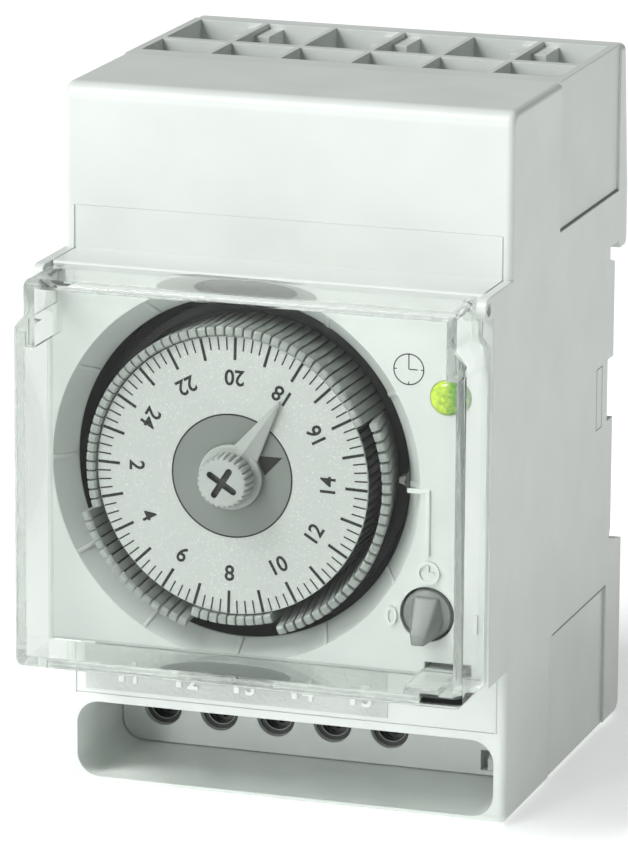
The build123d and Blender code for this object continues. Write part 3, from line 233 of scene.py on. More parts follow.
GREY = (0.735, 0.772, 0.745)
M = {
    "housing": moulded("housing_plastic", GREY, 0.42),
    "frame": moulded("frame_plastic", shade(GREY, 0.99), 0.38),
    "blocks": moulded("block_plastic", shade(GREY, 0.95), 0.42),
    "label": moulded("label_grain", shade(GREY, 0.74), 0.6, grain=0.45, depth=0.16, mottle=0.12, edge=0),
    # painted highlight: raised marks lighter than the plastic they stand on
    "mark": moulded("raised_mark_painted_highlight", shade(GREY, 1.06), 0.35, depth=0.002, mottle=0.01, edge=0.05),
    "black": moulded("black_plastic", (0.012, 0.013, 0.012), 0.5, grain=0.15, depth=0.012, mottle=0.2),
    "rib": moulded("well_rib_plastic", (0.11, 0.117, 0.112), 0.4, depth=0.01, mottle=0.3, edge=0.1),
    # the index's own dark grey, also used as painted shade for the grooves on the sides
    "index": moulded("index_plastic_and_groove_shade", (0.16, 0.175, 0.165), 0.45, edge=0.05),
    "foil": speckled("dial_foil", (0.60, 0.63, 0.605), (0.86, 0.88, 0.86)),
    "ink": moulded("black_ink", (0.006, 0.007, 0.006), 0.5, depth=0.001, mottle=0.2, edge=0),
    "disc": moulded("disc_plastic", (0.24, 0.262, 0.246), 0.5, grain=0.16, depth=0.005, edge=0.1),
    "tappet": moulded("tappet_plastic", (0.36, 0.388, 0.366), 0.34, depth=0.004, mottle=0.06, edge=0.06),
    "knob": moulded("knob_plastic", (0.47, 0.497, 0.475), 0.38, depth=0.003, mottle=0.05, edge=0.06),
    # painted shade: dark colour for the walls and floor of the knob's cross slot
    "slot": moulded("painted_slot_shade", (0.05, 0.054, 0.05), 0.5, depth=0.003, mottle=0.1, edge=0),
    "selector": moulded("selector_plastic", (0.22, 0.236, 0.225), 0.36, depth=0.004, mottle=0.05, edge=0.08),
    "latch": moulded("latch_plastic", (0.36, 0.38, 0.365), 0.45),
    "gear": moulded("acetal", (0.80, 0.79, 0.70), 0.35, depth=0.002, mottle=0.04, edge=0.04),
    "component": moulded("component_plastic", (0.02, 0.02, 0.022), 0.4, depth=0.004, mottle=0.1, edge=0.05),
    "board": moulded("solder_resist", (0.02, 0.12, 0.05), 0.25, grain=0.8, depth=0.004, mottle=0.2, edge=0),
    "battery": moulded("battery_sleeve", (0.04, 0.22, 0.09), 0.3, depth=0.002, mottle=0.08, edge=0.05),
    "brass": metal("brass", (0.72, 0.50, 0.20), 0.3),
    "steel": metal("zinc_plated_steel", (0.60, 0.60, 0.58), 0.32),
    "iron": metal("electrical_steel", (0.32, 0.32, 0.33), 0.45),
    "magnet": metal("sintered_magnet", (0.10, 0.10, 0.11), 0.5),
    "winding": metal("enamelled_wire", (0.55, 0.20, 0.08), 0.3, brush=0.12, stretch=(12, 1, 1)),
    "clear": clear("clear_plastic", (0.87, 0.89, 0.875), 0.03),
    "frosted": clear("ground_clear_plastic", (0.80, 0.83, 0.81), 0.45, ripple=0.03),
    "lens": lens_plastic("lens_plastic", (0.62, 0.80, 0.06), (0.12, 0.30, 0.06)),
    "recess": moulded("polished_block_plastic", shade(GREY, 0.92), 0.16, grain=0.5, depth=0.0015),
    # painted shade: dark colour for the insides of the screw holes, where shade falls
    "hole": moulded("painted_hole_shade", (0.045, 0.05, 0.047), 0.4, depth=0.004, mottle=0.2, edge=0),
    # the terminal screws are given a dark steel colour
    "dark_steel": metal("dark_screw_steel", (0.10, 0.10, 0.10), 0.4),
}

CAD_LOOKS = {
    "housing": ("rear_housing",), "blocks": ("top_block",), "recess": ("terminal_block",),
    "frame": ("front_frame",), "dark_steel": tuple(f"terminal_screw_{i}" for i in range(1, 6)),
    "label": ("terminal_label",), "black": ("drum_surround", "dial_drum", "front_plate", "rear_plate"),
    "index": ("time_index",), "foil": ("dial_face",), "disc": ("centre_disc",),
    "latch": ("rail_latch",), "selector": ("selector_knob",), "knob": ("minute_hand", "setting_knob"),
    "gear": ("bearing_tube", "idler_wheel", "centre_wheel", "third_wheel", "rotor_pinion", "feeler_lever",
             "switch_plunger"),
    "component": ("switch_body", "coil_bobbin", "board_parts"),
    "board": ("circuit_board",), "battery": ("backup_battery",),
    "brass": ("current_bars", "plate_pillars", "switch_contacts"),
    "steel": ("plate_screws", "feeler_pin", "latch_spring", "quartz_crystal", "minute_arbor", "clutch_spring"),
    "iron": ("stator",), "magnet": ("rotor_magnet",), "winding": ("coil_winding",),
    "lens": ("led", "led_lens"), "clear": ("clear_cover",),
    "tappet": ("tappets_on", "tappets_off", "tappet_0300", "tappet_0700", "tappet_0900", "tappet_1530"),
}


def dress_frame():
    """Gives every CAD node its material."""
    looks = {node: look for look, nodes in CAD_LOOKS.items() for node in nodes}
    for name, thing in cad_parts.items():
        look = looks.get(name, "steel")
        thing.data.materials.clear()
        thing.data.materials.append(M[look])
        thing.data.polygons.foreach_set("material_index", [0] * len(thing.data.polygons))


# ---------------------------------------------------------------- mesh helpers
def new_piece(name, mesh_maker, look, body, smooth=35, replaces=()):
    """Finishes a bmesh, in millimetres, as a piece that rides on a body."""
    mesh_maker.transform(Matrix.Scale(MM, 4))
    bmesh.ops.recalc_face_normals(mesh_maker, faces=mesh_maker.faces)
    mesh = bpy.data.meshes.new(name)
    mesh_maker.to_mesh(mesh)
    mesh_maker.free()
    piece = bpy.data.objects.new(name, mesh)
    bpy.context.scene.collection.objects.link(piece)
    mesh.materials.append(M[look])
    mesh.shade_smooth()
    mesh.set_sharp_from_angle(angle=radians(smooth))
    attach(piece, body)
    if replaces:
        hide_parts(*replaces)
    return piece


def prism(build, outline, front, rear, place=Matrix.Identity(4), bevel=0.0):
    """Adds a prism to a bmesh. outline is (x, z) points, and it runs from front to rear along Y."""
    start = [build.verts.new(place @ Vector((x, front, z))) for x, z in outline]
    end = [build.verts.new(place @ Vector((x, rear, z))) for x, z in outline]
    front_face = build.faces.new(start)
    build.faces.new(list(reversed(end)))
    count = len(outline)
    for i in range(count):
        j = (i + 1) % count
        build.faces.new((start[j], start[i], end[i], end[j]))
    if bevel:
        bmesh.ops.bevel(build, geom=list(front_face.edges), offset=bevel, segments=2, profile=0.6,
                        affect="EDGES")


def bar(build, x, y, z, place=Matrix.Identity(4), bevel=0.0):
    """Adds a box, given by its two ends along X, Y and Z, with its front edges rounded."""
    prism(build, ((x[0], z[0]), (x[1], z[0]), (x[1], z[1]), (x[0], z[1])), y[0], y[1], place, bevel)


def ring(build, centre, inner, outer, front, rear, steps=96, start=0.0, sweep=360.0):
    """Adds a flat ring, or an arc of one, about an axis along Y."""
    full = sweep >= 360
    count = steps if full else steps + 1
    loops = []
    for radius, y in ((inner, front), (outer, front), (outer, rear), (inner, rear)):
        loop = []
        for i in range(count):
            angle = radians(start + sweep * i / steps)
            loop.append(build.verts.new((centre[0] + radius * cos(angle), y, centre[1] + radius * sin(angle))))
        loops.append(loop)
    for side in range(4):
        a, b = loops[side], loops[(side + 1) % 4]
        for i in range(steps):
            j = (i + 1) % count
            build.faces.new((a[i], a[j], b[j], b[i]))
    if not full:
        build.faces.new([loop[0] for loop in loops])
        build.faces.new([loop[-1] for loop in reversed(loops)])


def lathe(build, centre, profile, steps=96, wave=None):
    """Turns a profile of (radius, y) points about an axis along Y.

    wave(angle, radius, y) may change a radius.
    """
    loops = []
    for radius, y in profile:
        if radius == 0:
            loops.append([build.verts.new((centre[0], y, centre[1]))])
            continue
        loop = []
        for i in range(steps):
            angle = 2 * pi * i / steps
            r = wave(angle, radius, y) if wave else radius
            loop.append(build.verts.new((centre[0] + r * cos(angle), y, centre[1] + r * sin(angle))))
        loops.append(loop)
    for a, b in zip(loops, loops[1:]):
        for i in range(steps):
            j = (i + 1) % steps
            corners = [a[i % len(a)], a[j % len(a)], b[j % len(b)], b[i % len(b)]]
            unique = list(dict.fromkeys(corners))
            if len(unique) > 2:
                build.faces.new(unique)


def on_dial(angle, lean=None):
    """Place of something drawn on the +X radius of the dial, turned to an angle."""
    turn = Matrix.Rotation(-radians(angle), 4, "Y")
    return Matrix.Translation((DIAL_X, 0, DIAL_Z)) @ turn @ (lean or Matrix.Identity(4))


def add_text(build, text, height, centre, front, depth, angle=0.0, weight=0.0, width=1.0):
    """Adds raised or printed figures that face -Y, turned by an angle about their middle."""
    curve = bpy.data.curves.new("figures", "FONT")
    curve.body = text
    curve.size = height / 0.7          # capitals of the built-in font are 0.7 of its size
    curve.align_x = "CENTER"
    curve.align_y = "CENTER"
    curve.offset = weight
    curve.extrude = depth / 2
    curve.resolution_u = 6
    holder = bpy.data.objects.new("figures", curve)
    mesh = bpy.data.meshes.new_from_object(holder)
    place = (Matrix.Translation((centre[0], front + depth / 2, centre[1]))
             @ Matrix.Rotation(-radians(angle), 4, "Y") @ Matrix.Rotation(pi / 2, 4, "X")
             @ Matrix.Diagonal((width, 1, 1, 1)))
    mesh.transform(place)
    build.from_mesh(mesh)
    bpy.data.objects.remove(holder)
    bpy.data.curves.remove(curve)
    bpy.data.meshes.remove(mesh)


# ---------------------------------------------------------------- dial
PRINT_PROUD = 0.02       # thickness of a printed mark
TAPPETS = 96
TAPPET_IN, TAPPET_OUT, TAPPET_WIDTH = 16.15, 17.2, 0.92
TAPPET_TIP_Y, TAPPET_PIVOT_Y = -51.2, -43.0
TAPPET_PIVOT_R = (TAPPET_IN + TAPPET_OUT) / 2
TAPPET_TILT = 11.5
ON_SPANS = ((13, 28), (37, 63))
HINGED = {12: "tappet_0300", 28: "tappet_0700", 36: "tappet_0900", 62: "tappet_1530"}


def dial_print():
    """Hour and quarter-hour marks, and the hours in even numbers, tops towards the centre."""
    build = bmesh.new()
    front = DIAL_FACE_Y - PRINT_PROUD
    for quarter in range(TAPPETS):
        long_mark = quarter % 4 == 0
        length, half = (2.6, 0.17) if long_mark else (1.5, 0.085)
        bar(build, (DIAL_FACE_R - 0.05 - length, DIAL_FACE_R - 0.05), (front, DIAL_FACE_Y + 0.01),
            (-half, half), on_dial(hour_angle(quarter / 4)))
    for hour in range(2, 25, 2):
        angle = hour_angle(hour)
        centre = (DIAL_X + 11.4 * cos(radians(angle)), DIAL_Z + 11.4 * sin(radians(angle)))
        add_text(build, str(hour), 1.75, centre, front, PRINT_PROUD, angle + 90, weight=0.05, width=0.95)
    new_piece("dial_print", build, "ink", "dial")


def tappet_shape(build, place):
    """One tappet: a slim leaf with a stepped outer flank, a rounded tip and a foot like a bead."""
    half = TAPPET_WIDTH / 2
    step_y = TAPPET_TIP_Y + 2.4
    outline = [(TAPPET_IN, TAPPET_PIVOT_Y), (TAPPET_IN, TAPPET_TIP_Y + 0.22), (TAPPET_IN + 0.22, TAPPET_TIP_Y),
               (TAPPET_OUT - 0.22, TAPPET_TIP_Y), (TAPPET_OUT, TAPPET_TIP_Y + 0.22), (TAPPET_OUT, step_y),
               (TAPPET_OUT - 0.14, step_y + 0.14), (TAPPET_OUT - 0.14, TAPPET_PIVOT_Y)]
    foot_r = TAPPET_PIVOT_R - TAPPET_IN
    for i in range(1, 6):
        angle = pi * i / 6
        outline.append((TAPPET_PIVOT_R + foot_r * cos(angle), TAPPET_PIVOT_Y + foot_r * sin(angle)))
    sides = []
    for z in (-half, half):
        sides.append([build.verts.new(place @ Vector((x, y, z))) for x, y in outline])
    edges = []
    for side in sides:
        face = build.faces.new(side)
        edges += list(face.edges)
    count = len(outline)
    for i in range(count):
        j = (i + 1) % count
        build.faces.new((sides[0][i], sides[0][j], sides[1][j], sides[1][i]))
    bmesh.ops.bevel(build, geom=edges, offset=0.11, segments=2, profile=0.6, affect="EDGES")


def tappets():
    """The ring of tappets: those that are out, those that are in, and four that tilt by themselves."""
    groups = {"tappet_ring_out": bmesh.new(), "tappet_ring_in": bmesh.new()}
    for number in range(TAPPETS):
        out = any(first <= number < last for first, last in ON_SPANS)
        lean = (Matrix.Translation((TAPPET_PIVOT_R, TAPPET_PIVOT_Y, 0))
                @ Matrix.Rotation(radians(TAPPET_TILT if out else 0), 4, "Z")
                @ Matrix.Translation((-TAPPET_PIVOT_R, -TAPPET_PIVOT_Y, 0)))
        place = on_dial(hour_angle((number + 0.5) * 24 / TAPPETS), lean)
        if number in HINGED:
            node = HINGED[number]
            single = bmesh.new()
            tappet_shape(single, place)
            new_piece(node + "_leaf", single, "tappet", node + "_body", replaces=(node,))
        else:
            tappet_shape(groups["tappet_ring_out" if out else "tappet_ring_in"], place)
    new_piece("tappet_ring_out", groups["tappet_ring_out"], "tappet", "dial",
              replaces=("tappets_on",))
    new_piece("tappet_ring_in", groups["tappet_ring_in"], "tappet", "dial", replaces=("tappets_off",))


def drum_ribs():
    """A rib on the drum behind each tappet, which shows wherever the tappet is out."""
    build = bmesh.new()
    for i in range(TAPPETS):
        bar(build, (DIAL_FACE_R - 0.32, DIAL_FACE_R + 0.05), (DIAL_FACE_Y + 0.6, TAPPET_PIVOT_Y - 0.3),
            (-0.27, 0.27), on_dial(360 * (i + 0.5) / TAPPETS), bevel=0.06)
    new_piece("drum_ribs", build, "rib", "dial")


def centre_marks():
    """Black ring round the grey centre disc, and the black triangle printed on it."""
    build = bmesh.new()
    ring(build, (DIAL_X, DIAL_Z), CENTRE_DISC_R - 0.02, CENTRE_DISC_R + 0.16, DIAL_FACE_Y - PRINT_PROUD,
         DIAL_FACE_Y + 0.2, steps=128)
    triangle = ((3.7, -1.2), (6.5, 0.0), (3.7, 1.2))
    prism(build, triangle, disc_low.y - PRINT_PROUD, disc_low.y + 0.01, on_dial(23.4))
    new_piece("centre_marks", build, "ink", "root")


# ---------------------------------------------------------------- hand and knob
HAND_LENGTH = 10.8
KNOB_R = 3.1
KNURLS = 26
SLOT_LENGTH, SLOT_WIDTH, SLOT_DEPTH = 4.0, 0.75, 0.7


def minute_hand():
    """Pointed hand with a sharp ridge along it, on a round flange with a chamfered rim."""
    build = bmesh.new()
    rear, flange_front = hand_high.y, hand_high.y - 0.6
    flange_r = KNOB_R + 0.6
    lathe(build, (DIAL_X, DIAL_Z), ((1.2, rear), (flange_r, rear), (flange_r, flange_front + 0.15),
                                    (flange_r - 0.15, flange_front), (1.2, flange_front), (1.2, rear)))
    place = on_dial(HAND_ANGLE)
    ridge = hand_low.y
    base = [(2.0, -1.85), (HAND_LENGTH - 0.1, -0.14), (HAND_LENGTH, 0.0), (HAND_LENGTH - 0.1, 0.14),
            (2.0, 1.85)]
    lower = [build.verts.new(place @ Vector((x, rear, z))) for x, z in base]
    upper = [build.verts.new(place @ Vector((x, rear - 0.35, z))) for x, z in base]
    crest = [build.verts.new(place @ Vector((2.0, ridge, 0.25))),
             build.verts.new(place @ Vector((HAND_LENGTH - 0.25, rear - 0.5, 0)))]
    build.faces.new(list(reversed(lower)))
    for i in range(4):
        build.faces.new((lower[i], lower[i + 1], upper[i + 1], upper[i]))
    build.faces.new((upper[0], upper[1], crest[1], crest[0]))
    build.faces.new((upper[1], upper[2], crest[1]))
    build.faces.new((upper[2], upper[3], crest[1]))
    build.faces.new((upper[3], upper[4], crest[0], crest[1]))
    build.faces.new((upper[4], lower[4], lower[0], upper[0], crest[0]))
    new_piece("minute_pointer", build, "knob", "minute", smooth=20, replaces=("minute_hand",))


def knob():
    """Knurled setting knob with a crowned front and a cross slot."""
    rear, front = knob_high.y, knob_low.y

    def knurl(angle, radius, y):
        """Rounded ridges with sharp valleys, which run out on the crowned front."""
        if radius < KNOB_R - 0.6:
            return radius
        valley = 1 - abs(sin(KNURLS * angle / 2))
        depth = 0.32 * min(1.0, (y - front + 0.15) / 0.5)
        return radius - depth * valley ** 1.5

    profile = [(1.0, rear), (KNOB_R - 0.1, rear), (KNOB_R, rear - 0.15), (KNOB_R - 0.08, front + 0.7),
               (KNOB_R - 0.14, front + 0.3), (KNOB_R - 0.3, front + 0.1), (KNOB_R - 0.55, front + 0.02),
               (KNOB_R - 0.9, front), (2.0, front), (1.0, front), (0, front)]
    build = bmesh.new()
    lathe(build, (DIAL_X, DIAL_Z), [(0, rear)] + profile, steps=KNURLS * 12, wave=knurl)
    body = new_piece("knurled_knob", build, "knob", "minute", smooth=40, replaces=("setting_knob",))
    for turn in (0, 90):
        half_length, half_width = SLOT_LENGTH / 2, SLOT_WIDTH / 2
        outline = []
        for end in (0, 1):
            for i in range(9):
                angle = radians(-90 + 180 * end + 180 * i / 8)
                sign = 1 if end == 0 else -1
                middle = sign * (half_length - half_width)
                outline.append((middle + half_width * cos(angle), half_width * sin(angle)))
        one = bmesh.new()
        prism(one, outline, front - 1, front + SLOT_DEPTH, on_dial(HAND_ANGLE + turn))
        one.transform(Matrix.Scale(MM, 4))
        bmesh.ops.recalc_face_normals(one, faces=one.faces)
        cut = bpy.data.meshes.new("cut")
        one.to_mesh(cut)
        one.free()
        # the slot's walls and floor take this painted shade
        cut.materials.append(M["slot"])
        holder = bpy.data.objects.new("cut", cut)
        bpy.context.scene.collection.objects.link(holder)
        carve(body, holder)


def carve(piece, cutter, operation="DIFFERENCE"):
    """Cuts one object out of another, or joins it, and removes the cutter."""
    for material in cutter.data.materials:
        if material.name not in piece.data.materials:
            piece.data.materials.append(material)
    change = piece.modifiers.new("carve", "BOOLEAN")
    change.operation = operation
    change.solver = "EXACT"
    change.object = cutter
    change.material_mode = "TRANSFER"
    graph = bpy.context.evaluated_depsgraph_get()
    result = bpy.data.meshes.new_from_object(piece.evaluated_get(graph))
    piece.modifiers.clear()
    old = piece.data
    piece.data = result
    result.name = old.name
    bpy.data.meshes.remove(old)
    bpy.data.objects.remove(cutter)
    piece.data.set_sharp_from_angle(angle=radians(35))


# ---------------------------------------------------------------- selector and lens
def selector():
    """Round selector with a wedge-shaped fin that points up and stands proudest at its foot."""
    build = bmesh.new()
    centre = (SELECTOR_X, SELECTOR_Z)
    radius = 2.85
    base = FASCIA_Y + 0.3
    lathe(build, centre, ((0, base + 6), (radius, base + 6), (radius, base - 0.1), (radius - 0.12, base - 0.35),
                          (radius - 0.4, base - 0.45), (0, base - 0.5)), steps=72)
    # the fin: its outline on the base, and the depth of its front edge at each corner
    fin = ((-1.45, -2.45, 0.0), (1.45, -2.45, 0.0), (2.1, -0.6, 0.0), (1.75, 2.1, 0.0), (-1.75, 2.1, 0.0),
           (-2.1, -0.6, 0.0))
    crest = ((-0.75, -2.75, 3.85), (0.75, -2.75, 3.85), (0.95, -1.7, 3.6), (1.35, 2.0, 0.75),
             (-1.35, 2.0, 0.75), (-0.95, -1.7, 3.6))
    low = [build.verts.new((centre[0] + x, base - h, centre[1] + z)) for x, z, h in fin]
    high = [build.verts.new((centre[0] + x, base - h, centre[1] + z)) for x, z, h in crest]
    build.faces.new(low)
    top = [build.faces.new((high[0], high[1], high[2], high[5])),
           build.faces.new((high[5], high[2], high[3], high[4]))]
    sides = []
    for i in range(6):
        j = (i + 1) % 6
        sides.append(build.faces.new((low[i], low[j], high[j], high[i])))
    rounded = {edge for face in top for edge in face.edges}
    rounded |= {edge for face in sides for edge in face.edges if not set(edge.verts) <= set(low)}
    bmesh.ops.bevel(build, geom=list(rounded), offset=0.22, segments=3, profile=0.6, affect="EDGES")
    new_piece("selector_fin", build, "selector", "selector", replaces=("selector_knob",))


def status_lens():
    """Domed light pipe with a shallow inner step."""
    build = bmesh.new()
    radius = (lens_high.x - lens_low.x) / 2
    front = FASCIA_Y - 0.35
    profile = [(0, lens_high.y), (radius, lens_high.y), (radius, FASCIA_Y - 0.02),
               (radius - 0.12, FASCIA_Y - 0.14)]
    for i in range(1, 7):
        angle = pi / 2 * i / 6
        profile.append(((radius - 0.12) * cos(angle), FASCIA_Y - 0.14 + (front - FASCIA_Y + 0.14) * sin(angle)))
    profile[-1] = (0, front)
    lathe(build, (LED_X, LED_Z), profile, steps=64)
    new_piece("status_lens", build, "lens", "root", replaces=("led_lens",))


# ---------------------------------------------------------------- marks on the fascia
MARK_HEIGHT = 0.28       # how far moulded marks stand out


def cone_ticks():
    """Twelve raised ticks on the cone round the dial, one each 30 degrees."""
    build = bmesh.new()
    slope = DISH_DEPTH / (DISH_OUTER_R - DISH_INNER_R)
    for i in range(12):
        place = on_dial(30 * i)
        outer, inner = DISH_OUTER_R - 0.1, DISH_INNER_R + 0.05
        corners = []
        for r in (inner, outer):
            cone_y = FASCIA_Y + (DISH_OUTER_R - r) * slope
            corners.append((r, cone_y))
        (r0, y0), (r1, y1) = corners
        half = 0.25
        back = [build.verts.new(place @ Vector(p)) for p in
                ((r0, y0 + 0.2, -half), (r0, y0 + 0.2, half), (r1, y1 + 0.2, half), (r1, y1 + 0.2, -half))]
        lead = [build.verts.new(place @ Vector(p)) for p in
                ((r0, y0 - 0.42, -half), (r0, y0 - 0.42, half), (r1, y1 - 0.16, half), (r1, y1 - 0.16, -half))]
        face = build.faces.new(lead)
        build.faces.new(list(reversed(back)))
        for k in range(4):
            m = (k + 1) % 4
            build.faces.new((back[k], back[m], lead[m], lead[k]))
        bmesh.ops.bevel(build, geom=list(face.edges), offset=0.09, segments=2, profile=0.6, affect="EDGES")
    new_piece("cone_ticks", build, "frame", "root")


def fascia_marks():
    """Raised line from the index to the selector, raised clock ring, 0 and I."""
    build = bmesh.new()
    front, rear = FASCIA_Y - MARK_HEIGHT, FASCIA_Y + 0.1
    elbow = (SELECTOR_X, -0.4)
    half = 0.26
    bar(build, (16.9, elbow[0] + half), (front, rear), (elbow[1] - half, elbow[1] + half), bevel=0.1)
    bar(build, (elbow[0] - half, elbow[0] + half), (front, rear), (-7.7, elbow[1] - half + 0.05), bevel=0.1)
    clock = (SELECTOR_X + 0.1, -9.7)
    ring(build, clock, 0.98, 1.38, front, rear, steps=48)
    bar(build, (clock[0] - 0.16, clock[0] + 0.16), (front, rear), (clock[1], clock[1] + 0.85), bevel=0.05)
    bar(build, (clock[0], clock[0] + 0.7), (front, rear), (clock[1] - 0.16, clock[1] + 0.16), bevel=0.05)
    add_text(build, "0", 2.1, (15.1, -15.1), front, MARK_HEIGHT + 0.1, weight=0.06)
    add_text(build, "I", 2.1, (24.2, -15.3), front, MARK_HEIGHT + 0.1, weight=0.06)
    new_piece("fascia_marks", build, "mark", "root")


def clock_icon():
    """Printed clock: a thin ring, two hands and three short ticks."""
    build = bmesh.new()
    centre, radius = (16.9, 13.4), 1.8
    front, rear = FASCIA_Y - PRINT_PROUD, FASCIA_Y + 0.01
    ring(build, centre, radius - 0.13, radius, front, rear, steps=64)
    bar(build, (centre[0] - 0.06, centre[0] + 0.06), (front, rear), (centre[1], centre[1] + radius - 0.1))
    bar(build, (centre[0] + 0.06, centre[0] + 1.05), (front, rear), (centre[1] - 0.06, centre[1] + 0.06))
    for i in (0, 2, 3):
        turn = Matrix.Translation((centre[0], 0, centre[1])) @ Matrix.Rotation(-pi / 2 * i, 4, "Y")
        bar(build, (radius - 0.4, radius - 0.1), (front, rear), (-0.06, 0.06), turn)
    new_piece("clock_icon", build, "ink", "root")


def screw_wells():
    """Painted shade in the five stepped screw holes: dark rings on their inner walls and on their steps."""
    build = bmesh.new()
    for number, x in enumerate(TERMINAL_X, 1):
        low, high = span(f"terminal_screw_{number}")
        head_r, front = (high.x - low.x) / 2, low.y
        centre = (x, (low.z + high.z) / 2)
        ring(build, centre, head_r - 0.27, head_r - 0.24, front - 1.35, front - 0.35, steps=48)
        ring(build, centre, head_r - 0.20, head_r + 0.32, front - 1.46, front - 1.42, steps=48)
    new_piece("screw_wells", build, "hole", "root")


def terminal_marks():
    """Raised squares above the screws with the numbers 1 to 5, on the grained strip."""
    build = bmesh.new()
    front, rear = label_low.y - 0.22, label_low.y + 0.05
    for number, x in enumerate(TERMINAL_X, 1):
        bar(build, (x + 0.1, x + 0.75), (front, rear), (-28.1, -26.7), bevel=0.06)
        add_text(build, str(number), 1.9, (x + 2.1, -27.3), front, 0.27, weight=0.08)
    new_piece("terminal_marks", build, "mark", "root")


# ---------------------------------------------------------------- housing details
def housing_seams():
    """Fine raised seam lines on the shoulders, beside the front frame's flanges and across its ends."""
    build = bmesh.new()
    front, rear = SHOULDER_Y - 0.12, SHOULDER_Y + 0.05
    for side in (-1, 1):
        x = side * 25.3
        for low, high in ((22.5, 27.5), (-29.9, -22.5)):
            bar(build, (x - 0.11, x + 0.11), (front, rear), (low, high), bevel=0.05)
        bar(build, (x - 0.11, x + 0.11), (FASCIA_Y + 0.4, SHOULDER_Y), (22.45, 22.58), bevel=0.05)
    new_piece("housing_seams", build, "housing", "root")


def side_details():
    """Painted shade of fine grooves: thin dark strips, barely proud of both sides, where the grooves and the
    rectangle of the inner catch show as dark lines.
    """
    build = bmesh.new()
    deep = 0.02
    for side in (-1, 1):
        x = side * SIDE_X

        def line(y, z, lift=deep):
            low, high = sorted((x - side * 0.05, x + side * lift))
            bar(build, (low, high), y, z)

        line((-24.0, -1.5), (-23.3, -23.1))
        line((-7.05, -6.95), (-3.0, 4.4))
        line((-4.75, -4.65), (-3.0, 4.4))
        line((-7.0, -4.7), (4.3, 4.42))
        line((-7.0, -4.7), (-3.02, -2.9))
    new_piece("side_groove_shade", build, "index", "root")


# ---------------------------------------------------------------- cover
COVER_WALL = 1.2
GRIP_X, GRIP_HALF, GRIP_REACH, GRIP_THICK = -1.5, 7.6, 4.2, 0.15
GRIP_STEPS = 32


def cover():
    """The clear cover as one moulding: the CAD shell with its snap foot, corner block and rims."""
    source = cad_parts["clear_cover"]
    piece = bpy.data.objects.new("cover_moulding", source.data.copy())
    bpy.context.scene.collection.objects.link(piece)
    piece.data.materials.clear()
    piece.data.materials.append(M["clear"])
    merged = bmesh.new()
    merged.from_mesh(piece.data)
    bmesh.ops.remove_doubles(merged, verts=merged.verts, dist=1e-6)
    bmesh.ops.dissolve_limit(merged, verts=merged.verts, edges=merged.edges, angle_limit=radians(0.5))
    merged.to_mesh(piece.data)
    merged.free()
    piece.data.shade_smooth()
    piece.data.set_sharp_from_angle(angle=radians(40))
    weighted = piece.modifiers.new("weighted", "WEIGHTED_NORMAL")
    weighted.keep_sharp = True
    weighted.weight = 100
    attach(piece, "cover")
    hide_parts("clear_cover")

    # ground half-moon where a finger lifts the cover, inside its bottom wall
    build = bmesh.new()
    root_y = cover_low.y + COVER_WALL + 0.05
    floor = cover_low.z + COVER_WALL + 0.01
    outline = []
    for i in range(GRIP_STEPS + 1):
        angle = radians(180 * i / GRIP_STEPS)
        outline.append((GRIP_X + GRIP_HALF * cos(angle), root_y + GRIP_REACH * sin(angle)))
    lower = [build.verts.new((x, y, floor)) for x, y in outline]
    upper = [build.verts.new((x, y, floor + GRIP_THICK)) for x, y in outline]
    build.faces.new(lower)
    build.faces.new(list(reversed(upper)))
    for i in range(len(outline)):
        j = (i + 1) % len(outline)
        build.faces.new((lower[i], lower[j], upper[j], upper[i]))
    new_piece("finger_grip", build, "frosted", "cover")


# ---------------------------------------------------------------- stage
FLOOR_GLOW, WORLD_LIGHT, KEY_LIGHT, FRONT_LIGHT = 0.42, 0.20, 2.3, 0.80


def soft_sun(name, strength, heading, spread):
    """A distant soft light that shines along heading; spread is its width in degrees."""
    data = bpy.data.lights.new(name, "SUN")
    data.energy = strength
    data.angle = radians(spread)
    lamp = bpy.data.objects.new(name, data)
    bpy.context.scene.collection.objects.link(lamp)
    lamp.rotation_euler = Vector(heading).to_track_quat("-Z", "Y").to_euler()


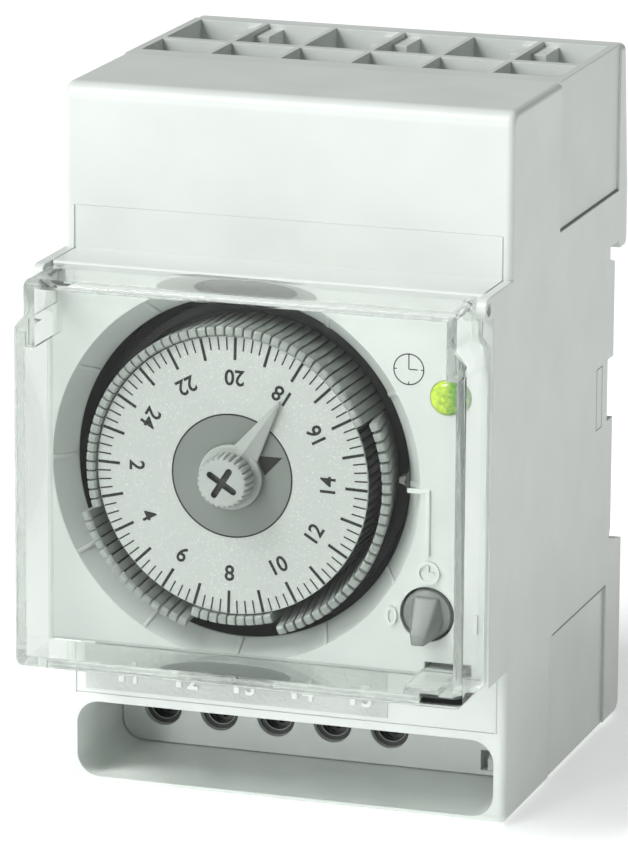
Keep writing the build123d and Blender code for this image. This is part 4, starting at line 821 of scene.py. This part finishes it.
def stage():
    """Pale floor, even world light, and a soft key light from the upper left front."""
    bpy.ops.mesh.primitive_plane_add(size=12, location=(0, 0, BOTTOM_Z * MM - 0.0001))
    floor = bpy.context.object
    floor.name = "floor"
    material, shader, link = principled("pale_floor", (0.9, 0.91, 0.905), 0.7,
                                        {"Emission Color": (1, 1, 1, 1), "Emission Strength": FLOOR_GLOW})
    link(tint(material, noise(material, 40.0), (0.89, 0.90, 0.895), (0.91, 0.92, 0.915)),
         shader.inputs["Base Color"])
    floor.data.materials.append(material)
    bpy.context.scene.view_settings.view_transform = "Standard"
    world = bpy.data.worlds.new("studio")
    world.use_nodes = True
    world.node_tree.nodes["Background"].inputs["Color"].default_value = (0.96, 1.0, 0.98, 1)
    world.node_tree.nodes["Background"].inputs["Strength"].default_value = WORLD_LIGHT
    bpy.context.scene.world = world
    soft_sun("key", KEY_LIGHT, (0.45, 0.45, -0.75), 22)
    soft_sun("front_fill", FRONT_LIGHT, (0.35, 0.93, -0.2), 16)


CAMERA_TARGET = Vector((-0.0021, -0.0257, 0.0))
CAMERA_AZIMUTH, CAMERA_ELEVATION, CAMERA_ROLL = 18.4, 14.07, 0.34
CAMERA_DISTANCE = 0.693
LENS = 255.0


def camera():
    azimuth, elevation = radians(CAMERA_AZIMUTH), radians(CAMERA_ELEVATION)
    away = Vector((sin(azimuth) * cos(elevation), -cos(azimuth) * cos(elevation), sin(elevation)))
    data = bpy.data.cameras.new("camera")
    data.lens = LENS
    data.sensor_width = 36.0
    data.clip_start = 0.01
    eye = bpy.data.objects.new("camera", data)
    bpy.context.scene.collection.objects.link(eye)
    eye.location = CAMERA_TARGET + away * CAMERA_DISTANCE
    roll = Matrix.Rotation(radians(CAMERA_ROLL), 3, "Z")
    eye.rotation_euler = ((-away).to_track_quat("-Z", "Y").to_matrix() @ roll).to_euler()
    bpy.context.scene.camera = eye


dress_frame()
dial_print()
tappets()
drum_ribs()
centre_marks()
minute_hand()
knob()
selector()
status_lens()
cone_ticks()
fascia_marks()
clock_icon()
screw_wells()
terminal_marks()
housing_seams()
side_details()
cover()
stage()
camera()
